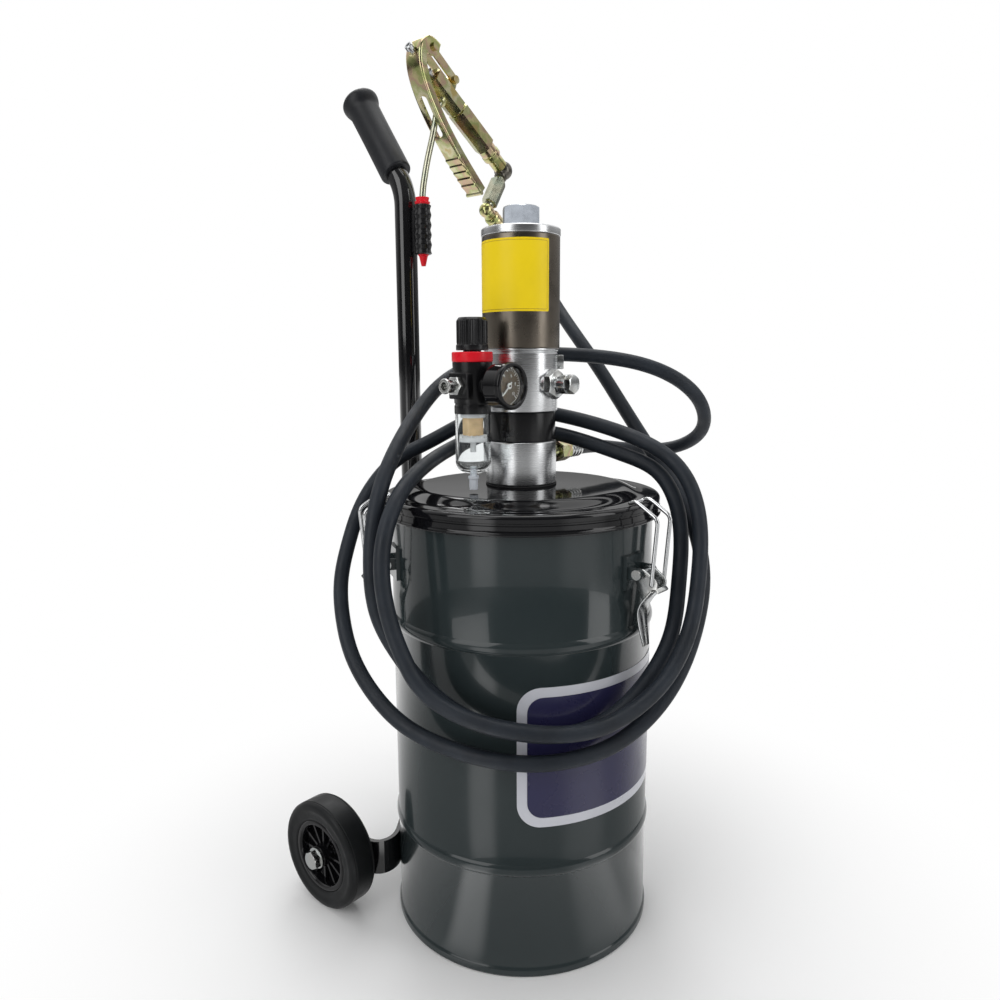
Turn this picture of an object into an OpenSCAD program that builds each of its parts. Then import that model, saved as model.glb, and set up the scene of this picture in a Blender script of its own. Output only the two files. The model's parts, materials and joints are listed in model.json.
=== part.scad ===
// Air-operated grease pump: a wheeled drum with a pump on its lid, a filter regulator, a hose and a gun.
// Millimetres. The origin is on the drum axis at floor level, +Z is up, the handle and wheels are at +Y.

/* [Drum] */
// Outside diameter of the drum wall
drum_d = 285; // [240:1:340]
// Height of the drum rim
drum_h = 474; // [400:1:560]
// Sheet thickness of the drum
drum_t = 1.2; // [0.8:0.1:2]
// Height of the lower rolled bead
bead_low_z = 118; // [80:1:200]
// Distance from the drum rim down to the upper rolled bead
bead_high_drop = 124; // [110:1:240]
// Height of one bead
bead_h = 13; // [8:1:26]
// How far a bead stands out of the wall
bead_out = 2.4; // [0.5:0.1:4]
// Height of the bottom chime
chime_h = 9; // [5:1:20]
// Radius of the rolled curl at the rim
curl_r = 3.5; // [2:0.5:5]

/* [Lid] */
// How far the lid lip stands out of the drum wall
lip_out = 7.5; // [6:0.5:12]
// Height of the lid lip
lip_h = 17; // [12:1:26]
// Sheet thickness of the lid
lid_t = 1.2; // [0.8:0.1:2]
// Rise of the raised top above the lip
lid_rise = 8; // [3:1:16]
// Diameter of the raised flat top
lid_flat_d = 216; // [160:1:230]
// Thickness of the rubber gasket under the lip
gasket_t = 6.5; // [4:0.5:9]

/* [Latches] */
// Distance from the drum rim down to the latch pins
latch_drop = 59; // [50:1:80]
// Distance from the drum wall to a latch pin
latch_stand = 13; // [12:0.5:16]
// Diameter of a latch pin
latch_pin_d = 6; // [4:0.5:8]
// Width of a latch lever
latch_w = 20; // [16:1:26]
// Sheet thickness of the lever
latch_t = 2; // [1.5:0.1:3]
// Length of the lever tail
latch_tail = 75; // [50:1:80]
// Wire diameter of the bail
bail_d = 4; // [3:0.5:5]

/* [Pump] */
// Diameter of the base
base_d = 76; // [70:1:90]
// Height of the base
base_h = 48; // [40:1:60]
// Diameter of the black spacer
spacer_d = 74; // [66:1:86]
// Height of the black spacer
spacer_h = 31; // [20:1:44]
// Diameter of the air valve body
valve_d = 78; // [72:1:92]
// Height of the air valve body
valve_h = 66; // [56:1:80]
// Diameter of the air cylinder
cyl_d = 82; // [76:1:96]
// Height of the air cylinder
cyl_h = 114; // [100:1:160]
// Wall of the air cylinder
cyl_wall = 5; // [3:0.5:8]
// Thickness of the cylinder cap
cap_h = 8.5; // [6:0.5:14]
// Width across flats of the cap plug
plug_af = 36; // [28:1:46]
// Height of the cap plug
plug_h = 22; // [12:1:30]
// Thickness of the air piston
piston_h = 16; // [10:1:24]
// Diameter of the pump rod
rod_d = 12; // [8:1:16]
// Outside diameter of the suction tube
tube_d = 25; // [20:1:32]
// Wall of the suction tube
tube_wall = 3; // [1.5:0.5:4]
// Gap between the foot valve and the drum bottom
foot_gap = 12; // [6:1:30]
// Thickness of the follower plate
follower_t = 4; // [2:0.5:8]

/* [Filter regulator] */
// Distance from the pump axis to the regulator axis
reg_x = 78; // [72:1:100]
// Diameter of the regulator body
reg_d = 37; // [32:1:40]
// Diameter of the red lock ring
ring_d = 41; // [38:1:48]
// Height of the red lock ring
ring_h = 10; // [6:1:14]
// Diameter of the knob
knob_d = 32; // [26:1:36]
// Height of the knob
knob_h = 32; // [20:1:40]
// Number of ribs round the knob
knob_ribs = 20; // [12:1:28]
// Diameter of the clear bowl
bowl_d = 36; // [30:1:40]
// Height of the clear bowl
bowl_h = 60; // [45:1:62]
// Wall of the clear bowl
bowl_t = 2; // [1.5:0.1:3]
// Diameter of the gauge
gauge_d = 46; // [40:1:52]
// Depth of the gauge case
gauge_h = 24; // [18:1:30]

/* [Hose] */
// Outside diameter of the hose
hose_d = 16; // [12:1:18]
// Diameter of a hose ferrule
ferrule_d = 20; // [18:1:24]
// Length of a hose ferrule
ferrule_l = 24; // [18:1:32]

/* [Gun] */
// Slope of the gun body below level
gun_tilt = 32.6; // [25:0.1:38]
// Width across flats of the gun body
gun_af = 22; // [18:1:24]
// Diameter of the round part of the gun body
gun_d = 26; // [22:1:28]
// Width of the trigger lever
trigger_w = 24; // [22:1:26]
// Sheet thickness of the trigger lever
trigger_t = 2; // [1.5:0.1:2.5]
// Depth of the trigger flanges
trigger_flange = 9; // [6:0.5:11]
// Diameter of the spout tube
spout_d = 7; // [6:0.5:8]
// Diameter of the gun holder
holder_d = 20; // [18:0.5:22]
// Height of the gun holder
holder_h = 55; // [40:1:70]

/* [Handle] */
// Diameter of the handle tube
post_d = 25.4; // [22:0.1:28]
// Wall of the handle tube
post_wall = 1.5; // [1:0.1:3]
// Distance from the drum axis to the handle tube
post_y = 172; // [168:1:180]
// Height of the bend in the handle tube
bend_z = 800; // [760:1:820]
// Angle of the bend
bend_a = 34; // [20:1:40]
// Radius of the bend
bend_r = 60; // [45:1:80]
// Diameter of the grip
grip_d = 37; // [32:1:42]
// Length of the grip
grip_l = 112; // [90:1:130]

/* [Wheels] */
// Diameter of a wheel
wheel_d = 125; // [110:1:140]
// Width of a wheel
wheel_w = 35; // [28:1:42]
// Distance from the middle of the part to the middle of a wheel
wheel_x = 158; // [152:1:175]
// Distance of the axle behind the drum axis
wheel_y = 159; // [145:1:170]
// Diameter of the plastic hub
hub_d = 84; // [70:1:92]
// Diameter of an axle bolt
axle_d = 12; // [10:1:16]
// Height of the wheel bracket bar
bar_h = 40; // [30:1:60]
// Thickness of the wheel bracket bar
bar_t = 5; // [4:0.5:8]

/* [Hidden] */
$fn = 64;
// Radial clearance of turning and sliding fits, and gap of parts that are only near each other
fit = 0.05;
gap = 0.3;
eps = 0.01;

// Drum and lid
drum_r = drum_d / 2;
rim_z = drum_h;
lip_r = drum_r + lip_out;
lip_z = rim_z + gasket_t + lid_t;
lid_z = lip_z + lid_rise;
lid_flat_r = lid_flat_d / 2;
lip_flat_r = drum_r + 3.5;
shoulder_r = drum_r - 8.5;
latch_angles = [-90, 30, 150];

// Latch points as [distance from the pin outward, height above the pin]
latch_r = drum_r + latch_stand;
latch_z = rim_z - latch_drop;
bead_high_z = rim_z - bead_high_drop;
bail_pivot = [15, -9];
bail_bar = [drum_r + 1 - latch_r, lip_z + bail_d / 2 + gap - latch_z];
bail_knee = [drum_r + 9 - latch_r, lip_z + 5.5 - latch_z];
bail_corner = [lip_r + 26 - latch_r, lip_z - 10 - latch_z];
bail_y = latch_w / 2 + bail_d / 2 + 0.5;
ear_t = 2.5;
ear_y = latch_w / 2 + 1;

// Pump stack, bottom of each piece
base_z = lid_z;
spacer_z = base_z + base_h;
valve_z = spacer_z + spacer_h;
cyl_z = valve_z + valve_h;
cap_z = cyl_z + cyl_h;
plug_z = cap_z + cap_h;
cyl_bore_r = cyl_d / 2 - cyl_wall;
piston_z = cyl_z + 10;
outlet_z = base_z + 30.3;
port_z = valve_z + 29.3;
port_r = 9;
boss_r = 14;
boss_out = 2;
tube_r = tube_d / 2;
socket_depth = 20;
foot_r = tube_r + 4;
foot_z = chime_h + drum_t + foot_gap;
foot_h = 44;
tube_bottom = foot_z + foot_h - 14;
ball_r = 7;
seat_r = 5;
ball_z = foot_z + 10 + sqrt(ball_r * ball_r - seat_r * seat_r) + fit;
rod_bottom = foot_z + foot_h + 4;
follower_z = foot_z + foot_h + 2;
follower_hub_h = 20;
wiper_w = 12;

// Filter regulator, heights
ring_z = port_z + 23;
reg_z = port_z - 28;
neck_r = 14;
stem_r = 9;
knob_z = ring_z + ring_h + 1.5;
bowl_z = reg_z - bowl_h;
bowl_r = bowl_d / 2;
reg_r = reg_d / 2;
reg_face = reg_x - reg_r - 1;
inlet_face = reg_x + reg_r + 3;
drain_d = 11;
drain_h = 16;
drain_travel = 3;
gauge_face = 53.5;
gauge_back = gauge_face - gauge_h;
gauge_wall = 5;
dial_depth = 8;
lens_t = 1.6;

// Outlet and hose ends along +X
outlet_face = base_d / 2 + boss_out;
nut_start = 64;
ferrule_start = 83;
hose_start = ferrule_start + ferrule_l;

// Gun frame: u runs down the body, w stands off its back
gun_x = 19;
gun_y = 144;
gun_z = 941;
function gun_point(u, w) = [
    gun_x + u * cos(gun_tilt) + w * sin(gun_tilt),
    gun_y,
    gun_z - u * sin(gun_tilt) + w * cos(gun_tilt)
];
hex_l = 48;
barrel_end = 100;
neck_u = 122;
elbow_u = 150;
elbow_r = 11.5;
swivel_w = -62;
tail_u = 160;
hose_u = tail_u + ferrule_l;
stem_d = 6;
stem_out = 7;
screw_u = -33;
screw_d = 6;
screw_out = 10;
pivot = [-20, 19];
link_pin = [24.7, 18];
spout_u = 25;
trigger_path = [[-14, 29], [-30, 27], [-38, 12], [-32, -6], [-14, -23], [24, -40], [70, -52], [121, -60]];
window_u = [0, 46];
window_w = 11;
pin_d = 6;
link_y = 6;
link_t = 2;

// Spout bends and gun holder, with the holder axis on the handle's front side
holder_z = 744;
spout_bends = [[20, 880], [9, 848], [0, 812], [0, holder_z]];
holder_bore = 6.5;
holder_ribs = 5;
sleeve_flange = 9;

// Handle and wheels
post_r = post_d / 2;
post_bottom = 150;
post_top = 6;
bracket_drop = 74;
bracket_zs = [215, rim_z - bracket_drop];
bracket_h = 30;
bracket_wall = 4;
leg_x = wheel_x - wheel_w / 2 - bar_t / 2 - 2;
wheel_r = wheel_d / 2;
hub_r = hub_d / 2;

// Hose route: out of the pump, three hanging loops round the lid, then up to the gun
hose_route = concat(
    [[hose_start, 0, outlet_z], [150, 0, outlet_z], [207, -8, 510], [243, -55, 508], [232, -108, 535]],
    [[182, -122, 582], [145, -92, 612], [115, -50, 625], [80, 0, 630], [45, 45, 630]],
    [[10, 75, 620], [-30, 90, 600], [-75, 82, 570], [-123, 62, 540], [-160, 49, 505], [-178, 43, 465]],
    [[-185, 40, 425], [-190, 30, 380], [-175, 15, 340], [-160, -5, 305], [-150, -55, 280]],
    [[-120, -100, 270], [-80, -135, 265], [-35, -155, 280], [10, -165, 310], [40, -170, 345]],
    [[65, -160, 390], [80, -155, 435], [85, -145, 475], [85, -122, 508], [75, -85, 520]],
    [[70, -40, 532], [60, 5, 543], [40, 45, 543], [5, 74, 536], [-45, 77, 522], [-103, 52, 512]],
    [[-154, 27, 500], [-181, 23, 465], [-195, 15, 425], [-195, 5, 380], [-185, -5, 340]],
    [[-180, -22, 310], [-165, -70, 290], [-130, -120, 280], [-85, -155, 275], [-35, -175, 290]],
    [[5, -187, 315], [40, -190, 355], [60, -185, 400], [78, -178, 445], [85, -165, 487]],
    [[85, -140, 520], [80, -95, 540], [75, -45, 553], [65, 5, 563], [45, 50, 568], [10, 85, 557]],
    [[-30, 110, 530], [-70, 130, 515], [-105, 145, 470], [-125, 145, 425], [-140, 145, 385]],
    [[-150, 130, 345], [-160, 105, 310], [-165, 65, 280], [-165, 20, 258], [-155, -25, 248]],
    [[-140, -75, 243], [-110, -115, 240], [-65, -145, 243], [-25, -160, 253], [15, -175, 280]],
    [[50, -180, 315], [75, -180, 355], [95, -175, 395], [115, -155, 435], [130, -125, 475]],
    [[135, -95, 505], [140, -60, 545], [145, -30, 580], [150, 0, 615], [152, 32, 650]],
    [[168, 78, 692], [187, 120, 735], gun_point(hose_u + 40, swivel_w), gun_point(hose_u, swivel_w)]
);
hose_rings = 80;
hose_sides = 10;

paint_dark = [0.20, 0.22, 0.22];
gloss_black = [0.05, 0.05, 0.06];
zinc = [0.74, 0.76, 0.78];
yellow_zinc = [0.74, 0.68, 0.42];
aluminium = [0.80, 0.81, 0.83];
rubber = [0.10, 0.11, 0.13];

// Paths and curves
function unit(v) = v / norm(v);
function reversed(list) = [for (i = [len(list) - 1 : -1 : 0]) list[i]];
function left_of(v) = [-v[1], v[0]];
function heading(path, i) = unit(path[min(i + 1, len(path) - 1)] - path[max(i - 1, 0)]);
function beside(path, d) = [for (i = [0 : len(path) - 1]) path[i] + d * left_of(heading(path, i))];
function strip(path, low, high) = concat(beside(path, high), reversed(beside(path, low)));
function arc(centre, r, from, to, steps) = [
    for (k = [0 : steps])
        let (a = from + (to - from) * k / steps)
            centre + r * [cos(a), sin(a)]
];

// Uniform cubic B-spline that starts at the first point and ends at the last
function with_ends(p) = concat([2 * p[0] - p[1]], p, [2 * p[len(p) - 1] - p[len(p) - 2]]);
function blend(q, i, t) = (
    pow(1 - t, 3) * q[i]
    + (3 * pow(t, 3) - 6 * t * t + 4) * q[i + 1]
    + (-3 * pow(t, 3) + 3 * t * t + 3 * t + 1) * q[i + 2]
    + pow(t, 3) * q[i + 3]
) / 6;
function curve(p, steps) = let (q = with_ends(p), spans = len(p) - 1) [
    for (k = [0 : steps])
        let (s = k * spans / steps, i = min(floor(s), spans - 1))
        blend(q, i, s - i)
];

// Round tube swept along a space curve, its sides carried from ring to ring without twist
function carried(dirs, k, side) = k == len(dirs) ? [] :
    let (v = unit(side - (side * dirs[k]) * dirs[k]))
    concat([v], carried(dirs, k + 1, v));
module swept_tube(path, r, sides, start_side) {
    n = len(path);
    dirs = [for (i = [0 : n - 1]) unit(path[min(i + 1, n - 1)] - path[max(i - 1, 0)])];
    us = carried(dirs, 0, start_side);
    points = [
        for (i = [0 : n - 1], j = [0 : sides - 1])
            path[i] + r * (cos(360 * j / sides) * us[i] + sin(360 * j / sides) * cross(dirs[i], us[i]))
    ];
    walls = [
        for (i = [0 : n - 2], j = [0 : sides - 1])
            [i * sides + j, i * sides + (j + 1) % sides,
             (i + 1) * sides + (j + 1) % sides, (i + 1) * sides + j]
    ];
    first = [for (j = [sides - 1 : -1 : 0]) j];
    last = [for (j = [0 : sides - 1]) (n - 1) * sides + j];
    polyhedron(points, [for (f = concat([first], walls, [last])) reversed(f)], convexity = 10);
}

// Rods, nuts and frames that several pieces use
module rod(from, to, r) {
    d = to - from;
    translate(from)
        rotate([0, acos(d[2] / norm(d)), atan2(d[1], d[0])])
            cylinder(h = norm(d), r = r);
}
// Rod bent in the plane of x and z, with a full knuckle at each bend
module bent_rod(p, r) {
    for (i = [0 : len(p) - 2])
        rod([p[i][0], 0, p[i][1]], [p[i + 1][0], 0, p[i + 1][1]], r);
    for (i = [1 : len(p) - 2])
        translate([p[i][0], 0, p[i][1]])
            sphere(r = r + 0.1);
}
module hexagon(af, h) {
    cylinder(h = h, d = af / cos(30), $fn = 6);
}
module chamfered_hexagon(af, h, cut) {
    intersection() {
        hexagon(af, h);
        rotate_extrude()
            polygon([[0, 0], [af / 2 * 1.16, 0], [af / 2 * 1.16, h - cut], [af / 2, h], [0, h]]);
    }
}
module ring(r_out, r_in, h) {
    difference() {
        cylinder(h = h, r = r_out);
        translate([0, 0, -eps])
            cylinder(h = h + 2 * eps, r = r_in);
    }
}
module along_x() {
    rotate([0, 90, 0])
        children();
}
module along_minus_x() {
    rotate([0, -90, 0])
        children();
}
module along_minus_y() {
    rotate([90, 0, 0])
        children();
}
// Draws an outline in the plane of x and z, and gives it thickness along y
module upright(y_from, y_to) {
    translate([0, y_to, 0])
        rotate([90, 0, 0])
            linear_extrude(height = y_to - y_from)
                children();
}
module both_cheeks(y_in, y_out) {
    upright(y_in, y_out)
        children();
    upright(-y_out, -y_in)
        children();
}
module gun_frame() {
    translate([gun_x, gun_y, gun_z])
        rotate([0, gun_tilt, 0])
            children();
}
module latch_frame(angle) {
    rotate([0, 0, angle])
        translate([latch_r, 0, latch_z])
            children();
}

// Drum and lid
function bead(z) = [for (a = [-90 : 15 : 90]) [drum_r + bead_out * cos(a) * cos(a), z + bead_h / 2 * sin(a)]];
module drum() {
    wall = concat([[drum_r, chime_h - 1]], bead(bead_low_z), bead(bead_high_z), [[drum_r, rim_z - curl_r]]);
    inner = [for (p = wall) p - [drum_t, 0]];
    color(paint_dark) {
        rotate_extrude($fn = 128) {
            polygon(concat(wall, reversed(inner)));
            translate([drum_r + curl_r / 2, rim_z - curl_r])
                circle(r = curl_r);
            polygon([[drum_r - 3, 1], [drum_r - 2, 0], [drum_r + 1, 0], [drum_r + 2, 1],
                     [drum_r + 2, chime_h - 1], [drum_r + 1, chime_h], [drum_r - 3, chime_h]]);
        }
        translate([0, 0, chime_h - drum_t])
            cylinder(h = drum_t, r = drum_r - 2, $fn = 128);
    }
}
module lid() {
    lip_round = lip_r - lip_flat_r;
    slope = [
        for (k = [0 : 8])
            [lid_flat_r + (shoulder_r - lid_flat_r) * k / 8, lip_z + lid_rise * (1 + cos(180 * k / 8)) / 2]
    ];
    skin = concat([[tube_r + 1, lid_z]], slope,
        arc([lip_flat_r, lip_z - lip_round], lip_round, 90, 0, 4), [[lip_r, lip_z - lip_h]]);
    hem = arc([lip_r - lid_t / 2, lip_z - lip_h - 1.7], 1.8, 60, -240, 10);
    color(gloss_black)
        rotate_extrude($fn = 128)
            polygon(concat(skin, hem, reversed(beside(skin, -lid_t))));
}
module lid_gasket() {
    color(rubber)
        rotate_extrude($fn = 128)
            translate([drum_r - 3.5, rim_z])
                square([7, gasket_t]);
}

// Toggle latches
module latch_brackets() {
    plate_w = 34;
    plate_h = 34;
    ear_r = 6;
    color(paint_dark)
        for (angle = latch_angles)
            difference() {
                latch_frame(angle)
                    difference() {
                        union() {
                            translate([-latch_stand - 4, -plate_w / 2, -plate_h / 2])
                                cube([7, plate_w, plate_h]);
                            both_cheeks(ear_y, ear_y + ear_t) {
                                circle(r = ear_r);
                                translate([-latch_stand - 2, -ear_r])
                                    square([latch_stand + 2, 2 * ear_r]);
                            }
                        }
                        along_minus_y()
                            cylinder(h = 2 * plate_w, d = latch_pin_d, center = true);
                    }
                cylinder(h = drum_h, r = drum_r, $fn = 128);
            }
}
module latch_pins() {
    head_t = 3;
    reach = ear_y + ear_t;
    color(zinc)
        for (angle = latch_angles)
            latch_frame(angle)
                along_minus_y() {
                    translate([0, 0, -reach - 1])
                        cylinder(h = 2 * reach + 1, d = latch_pin_d);
                    for (side = [-1, 1])
                        translate([0, 0, side * (reach + head_t / 2) - head_t / 2])
                            cylinder(h = head_t, d = latch_pin_d + 4);
                }
}
module latch_lever(angle) {
    cheek_in = latch_w / 2 - latch_t;
    tail = curve([[14, -15], [6, -25], [-2, -36], [-1, -52], [4, -latch_tail]], 12);
    color(zinc)
        latch_frame(angle) {
            difference() {
                both_cheeks(latch_w / 2 - latch_t, latch_w / 2) {
                    circle(d = latch_pin_d + 6);
                    translate(bail_pivot)
                        circle(d = bail_d + 6);
                    polygon([[-4, 4], [5, 5], [19, -6], [19, -13], [13, -17], [5, -26], [2, -22], [-5, -3]]);
                }
                along_minus_y() {
                    cylinder(h = 2 * latch_w, r = latch_pin_d / 2 + fit, center = true);
                    translate([bail_pivot[0], bail_pivot[1], 0])
                        cylinder(h = 2 * latch_w, r = bail_d / 2 + fit, center = true);
                }
            }
            upright(-latch_w / 2, latch_w / 2)
                polygon(strip(tail, -latch_t / 2, latch_t / 2));
            upright(-latch_w / 2, latch_w / 2)
                polygon([[12, -14], [19, -12], [22, -15], [21, -17], [18, -14.5], [13, -17]]);
        }
}
module latch_lever_front() { latch_lever(latch_angles[0]); }
module latch_lever_right() { latch_lever(latch_angles[1]); }
module latch_lever_left() { latch_lever(latch_angles[2]); }
module latch_bail(angle) {
    bail_r = bail_d / 2;
    side_points = [bail_pivot, bail_corner, bail_knee, bail_bar];
    color(zinc)
        latch_frame(angle) {
            for (side = [-1, 1]) {
                translate([0, side * bail_y, 0])
                    bent_rod(side_points, bail_r);
                for (p = [bail_pivot, bail_bar])
                    translate([p[0], side * bail_y, p[1]])
                        sphere(r = bail_r + 0.1);
                rod([bail_pivot[0], side * (latch_w / 2 - latch_t), bail_pivot[1]],
                    [bail_pivot[0], side * bail_y, bail_pivot[1]], bail_r);
            }
            rod([bail_bar[0], -bail_y, bail_bar[1]], [bail_bar[0], bail_y, bail_bar[1]], bail_r);
        }
}
module latch_bail_front() { latch_bail(latch_angles[0]); }
module latch_bail_right() { latch_bail(latch_angles[1]); }
module latch_bail_left() { latch_bail(latch_angles[2]); }

// Pump stack
module pump_base() {
    color(aluminium)
        difference() {
            union() {
                translate([0, 0, base_z])
                    rotate_extrude()
                        polygon([[0, 0], [base_d / 2 - 2, 0], [base_d / 2 - 2, 2], [base_d / 2, 3],
                                 [base_d / 2, base_h - 1.5], [base_d / 2 - 1.5, base_h], [0, base_h]]);
                translate([0, 0, outlet_z])
                    along_x()
                        cylinder(h = outlet_face, r = boss_r);
            }
            translate([0, 0, base_z - eps])
                cylinder(h = socket_depth + eps, r = tube_r);
            translate([0, 0, base_z])
                cylinder(h = base_h + eps, r = rod_d / 2 + gap);
            translate([tube_r + 4, 0, outlet_z])
                along_x()
                    cylinder(h = base_d, r = port_r - 1);
        }
}
module pump_spacer() {
    color(gloss_black)
        translate([0, 0, spacer_z])
            ring(spacer_d / 2, rod_d / 2 + 6, spacer_h);
}
module air_valve_body() {
    r = valve_d / 2;
    color(aluminium)
        difference() {
            union() {
                translate([0, 0, valve_z])
                    rotate_extrude()
                        polygon([[0, 0], [r - 1, 0], [r, 1], [r, valve_h - 5], [r - 1, valve_h - 4],
                                 [r - 1, valve_h - 3], [r + 1, valve_h - 2], [r + 1, valve_h], [0, valve_h]]);
                translate([0, 0, port_z]) {
                    along_minus_x()
                        cylinder(h = r + boss_out, r = boss_r);
                    along_minus_y()
                        cylinder(h = r + boss_out, r = boss_r);
                }
            }
            translate([0, 0, valve_z - eps])
                cylinder(h = valve_h + 2 * eps, r = rod_d / 2 + fit);
            translate([0, 0, port_z]) {
                translate([-r / 2, 0, 0])
                    along_minus_x()
                        cylinder(h = r, r = port_r);
                translate([0, -r / 2, 0])
                    along_minus_y()
                        cylinder(h = r, r = port_r);
            }
        }
}
module air_cylinder() {
    color([0.33, 0.31, 0.28])
        translate([0, 0, cyl_z])
            ring(cyl_d / 2, cyl_bore_r, cyl_h);
}
module cylinder_cap() {
    r = cyl_d / 2 + 0.5;
    spigot_h = 5;
    color(aluminium)
        difference() {
            translate([0, 0, cap_z])
                rotate_extrude()
                    polygon([[0, -spigot_h], [cyl_bore_r, -spigot_h], [cyl_bore_r, 0], [r, 0],
                             [r, cap_h - 1.5], [r - 1.5, cap_h], [0, cap_h]]);
            translate([0, 0, cap_z])
                cylinder(h = cap_h + eps, r = port_r);
        }
}
module cap_plug() {
    flange_t = 3;
    flange_r = plug_af / 2 + 5;
    thread_l = 6;
    color(zinc)
        translate([0, 0, plug_z]) {
            cylinder(h = flange_t, r1 = flange_r, r2 = flange_r - 2);
            translate([0, 0, flange_t])
                rotate([0, 0, 15])
                    chamfered_hexagon(plug_af, plug_h - flange_t, 3);
            translate([0, 0, -thread_l])
                cylinder(h = thread_l, r = port_r);
        }
}
module air_piston() {
    groove_r = cyl_bore_r - 4;
    r = cyl_bore_r - gap;
    color(aluminium)
        translate([0, 0, piston_z])
            difference() {
                rotate_extrude()
                    polygon([[0, 0], [r, 0], [r, piston_h * 0.3], [groove_r, piston_h * 0.3],
                             [groove_r, piston_h * 0.7], [r, piston_h * 0.7], [r, piston_h], [0, piston_h]]);
                translate([0, 0, -eps])
                    cylinder(h = piston_h + 2 * eps, r = rod_d / 2);
            }
}
module pump_rod() {
    nut_h = 8;
    color(zinc) {
        translate([0, 0, rod_bottom])
            cylinder(h = piston_z + piston_h - rod_bottom, r = rod_d / 2);
        translate([0, 0, piston_z + piston_h])
            hexagon(rod_d * 1.6, nut_h);
    }
}
module suction_tube() {
    color(zinc)
        translate([0, 0, tube_bottom])
            ring(tube_r, tube_r - tube_wall, base_z + socket_depth - tube_bottom);
}
module foot_valve() {
    inlet_w = 7;
    color([0.72, 0.60, 0.32])
        difference() {
            translate([0, 0, foot_z])
                cylinder(h = foot_h, r = foot_r);
            translate([0, 0, tube_bottom])
                cylinder(h = foot_h, r = tube_r);
            translate([0, 0, foot_z + 10])
                cylinder(h = foot_h, r = ball_r + 2);
            translate([0, 0, foot_z - eps])
                cylinder(h = 12, r = seat_r);
            for (turn = [0, 90])
                rotate([0, 0, turn])
                    translate([-foot_r - 1, -inlet_w / 2, foot_z - 1])
                        cube([2 * foot_r + 2, inlet_w, 8]);
        }
}
module check_ball() {
    color(zinc)
        translate([0, 0, ball_z])
            sphere(r = ball_r);
}
module follower_plate() {
    rim_r = drum_r - drum_t - wiper_w;
    color(paint_dark)
        translate([0, 0, follower_z])
            difference() {
                union() {
                    cylinder(h = follower_t, r = rim_r, $fn = 128);
                    cylinder(h = follower_hub_h, r = tube_r + 6);
                }
                translate([0, 0, -eps])
                    cylinder(h = follower_hub_h + 2 * eps, r = tube_r + fit);
            }
}
module follower_wiper() {
    rim_r = drum_r - drum_t - wiper_w;
    color(rubber)
        translate([0, 0, follower_z])
            rotate_extrude($fn = 128)
                polygon([[rim_r, 0], [drum_r - drum_t - 4, 0], [drum_r - drum_t - gap, 6],
                         [drum_r - drum_t - 2, 7], [rim_r + 4, follower_t], [rim_r, follower_t]]);
}

// Air line and filter regulator
module air_nipple() {
    hex_start = valve_d / 2 + boss_out;
    color(zinc)
        translate([0, 0, port_z])
            along_minus_x() {
                translate([0, 0, valve_d / 2])
                    cylinder(h = boss_out, r = port_r);
                translate([0, 0, hex_start])
                    hexagon(22, reg_face - hex_start);
            }
}
module regulator_body() {
    port_block = 26;
    color(gloss_black)
        translate([-reg_x, 0, 0])
            difference() {
                union() {
                    translate([0, 0, reg_z])
                        rotate_extrude()
                            polygon([[0, 0], [reg_r, 0], [reg_r, 8], [reg_r - 0.8, 8.5], [reg_r - 0.8, 10],
                                     [reg_r, 10.5], [reg_r, 12], [reg_r + 1.5, ring_z - reg_z],
                                     [neck_r, ring_z - reg_z], [neck_r, ring_z + ring_h - reg_z],
                                     [stem_r, ring_z + ring_h - reg_z], [stem_r, knob_z + 14 - reg_z],
                                     [0, knob_z + 14 - reg_z]]);
                    translate([reg_x - inlet_face, -port_block / 2, port_z - port_block / 2])
                        cube([inlet_face - reg_face, port_block, port_block]);
                    translate([0, 0, port_z])
                        along_minus_y()
                            cylinder(h = reg_r + 2, r = 9);
                }
                for (lean = [-1, 1])
                    translate([reg_x - inlet_face - eps, lean * (port_block / 2 - 4), port_z])
                        cube([8, 3, port_block + 2], center = true);
                translate([0, 0, port_z]) {
                    translate([reg_x - inlet_face + 14, 0, 0])
                        along_minus_x()
                            cylinder(h = 15, r = port_r - 2.5);
                    along_minus_y()
                        cylinder(h = reg_r + 3, r = 5);
                }
            }
}
module regulator_ring() {
    color([0.85, 0.08, 0.10])
        translate([-reg_x, 0, ring_z])
            rotate_extrude()
                polygon([[neck_r, 0], [ring_d / 2 - 0.8, 0], [ring_d / 2, 0.8], [ring_d / 2, ring_h - 0.8],
                         [ring_d / 2 - 0.8, ring_h], [neck_r, ring_h]]);
}
module regulator_knob() {
    rib_r = 1.1;
    core_r = knob_d / 2 - rib_r;
    foot_h = 5;
    color(gloss_black)
        translate([-reg_x, 0, knob_z])
            difference() {
                union() {
                    rotate_extrude()
                        polygon([[0, 0], [knob_d / 2, 0], [knob_d / 2, foot_h], [core_r, foot_h + 1],
                                 [core_r, knob_h - 2], [core_r - 2, knob_h], [0, knob_h]]);
                    for (k = [0 : knob_ribs - 1])
                        rotate([0, 0, 360 * k / knob_ribs])
                            translate([core_r, 0, foot_h])
                                cylinder(h = knob_h - foot_h - 3, r = rib_r, $fn = 16);
                }
                translate([0, 0, -eps])
                    cylinder(h = 16, r = stem_r + fit);
            }
}
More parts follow.
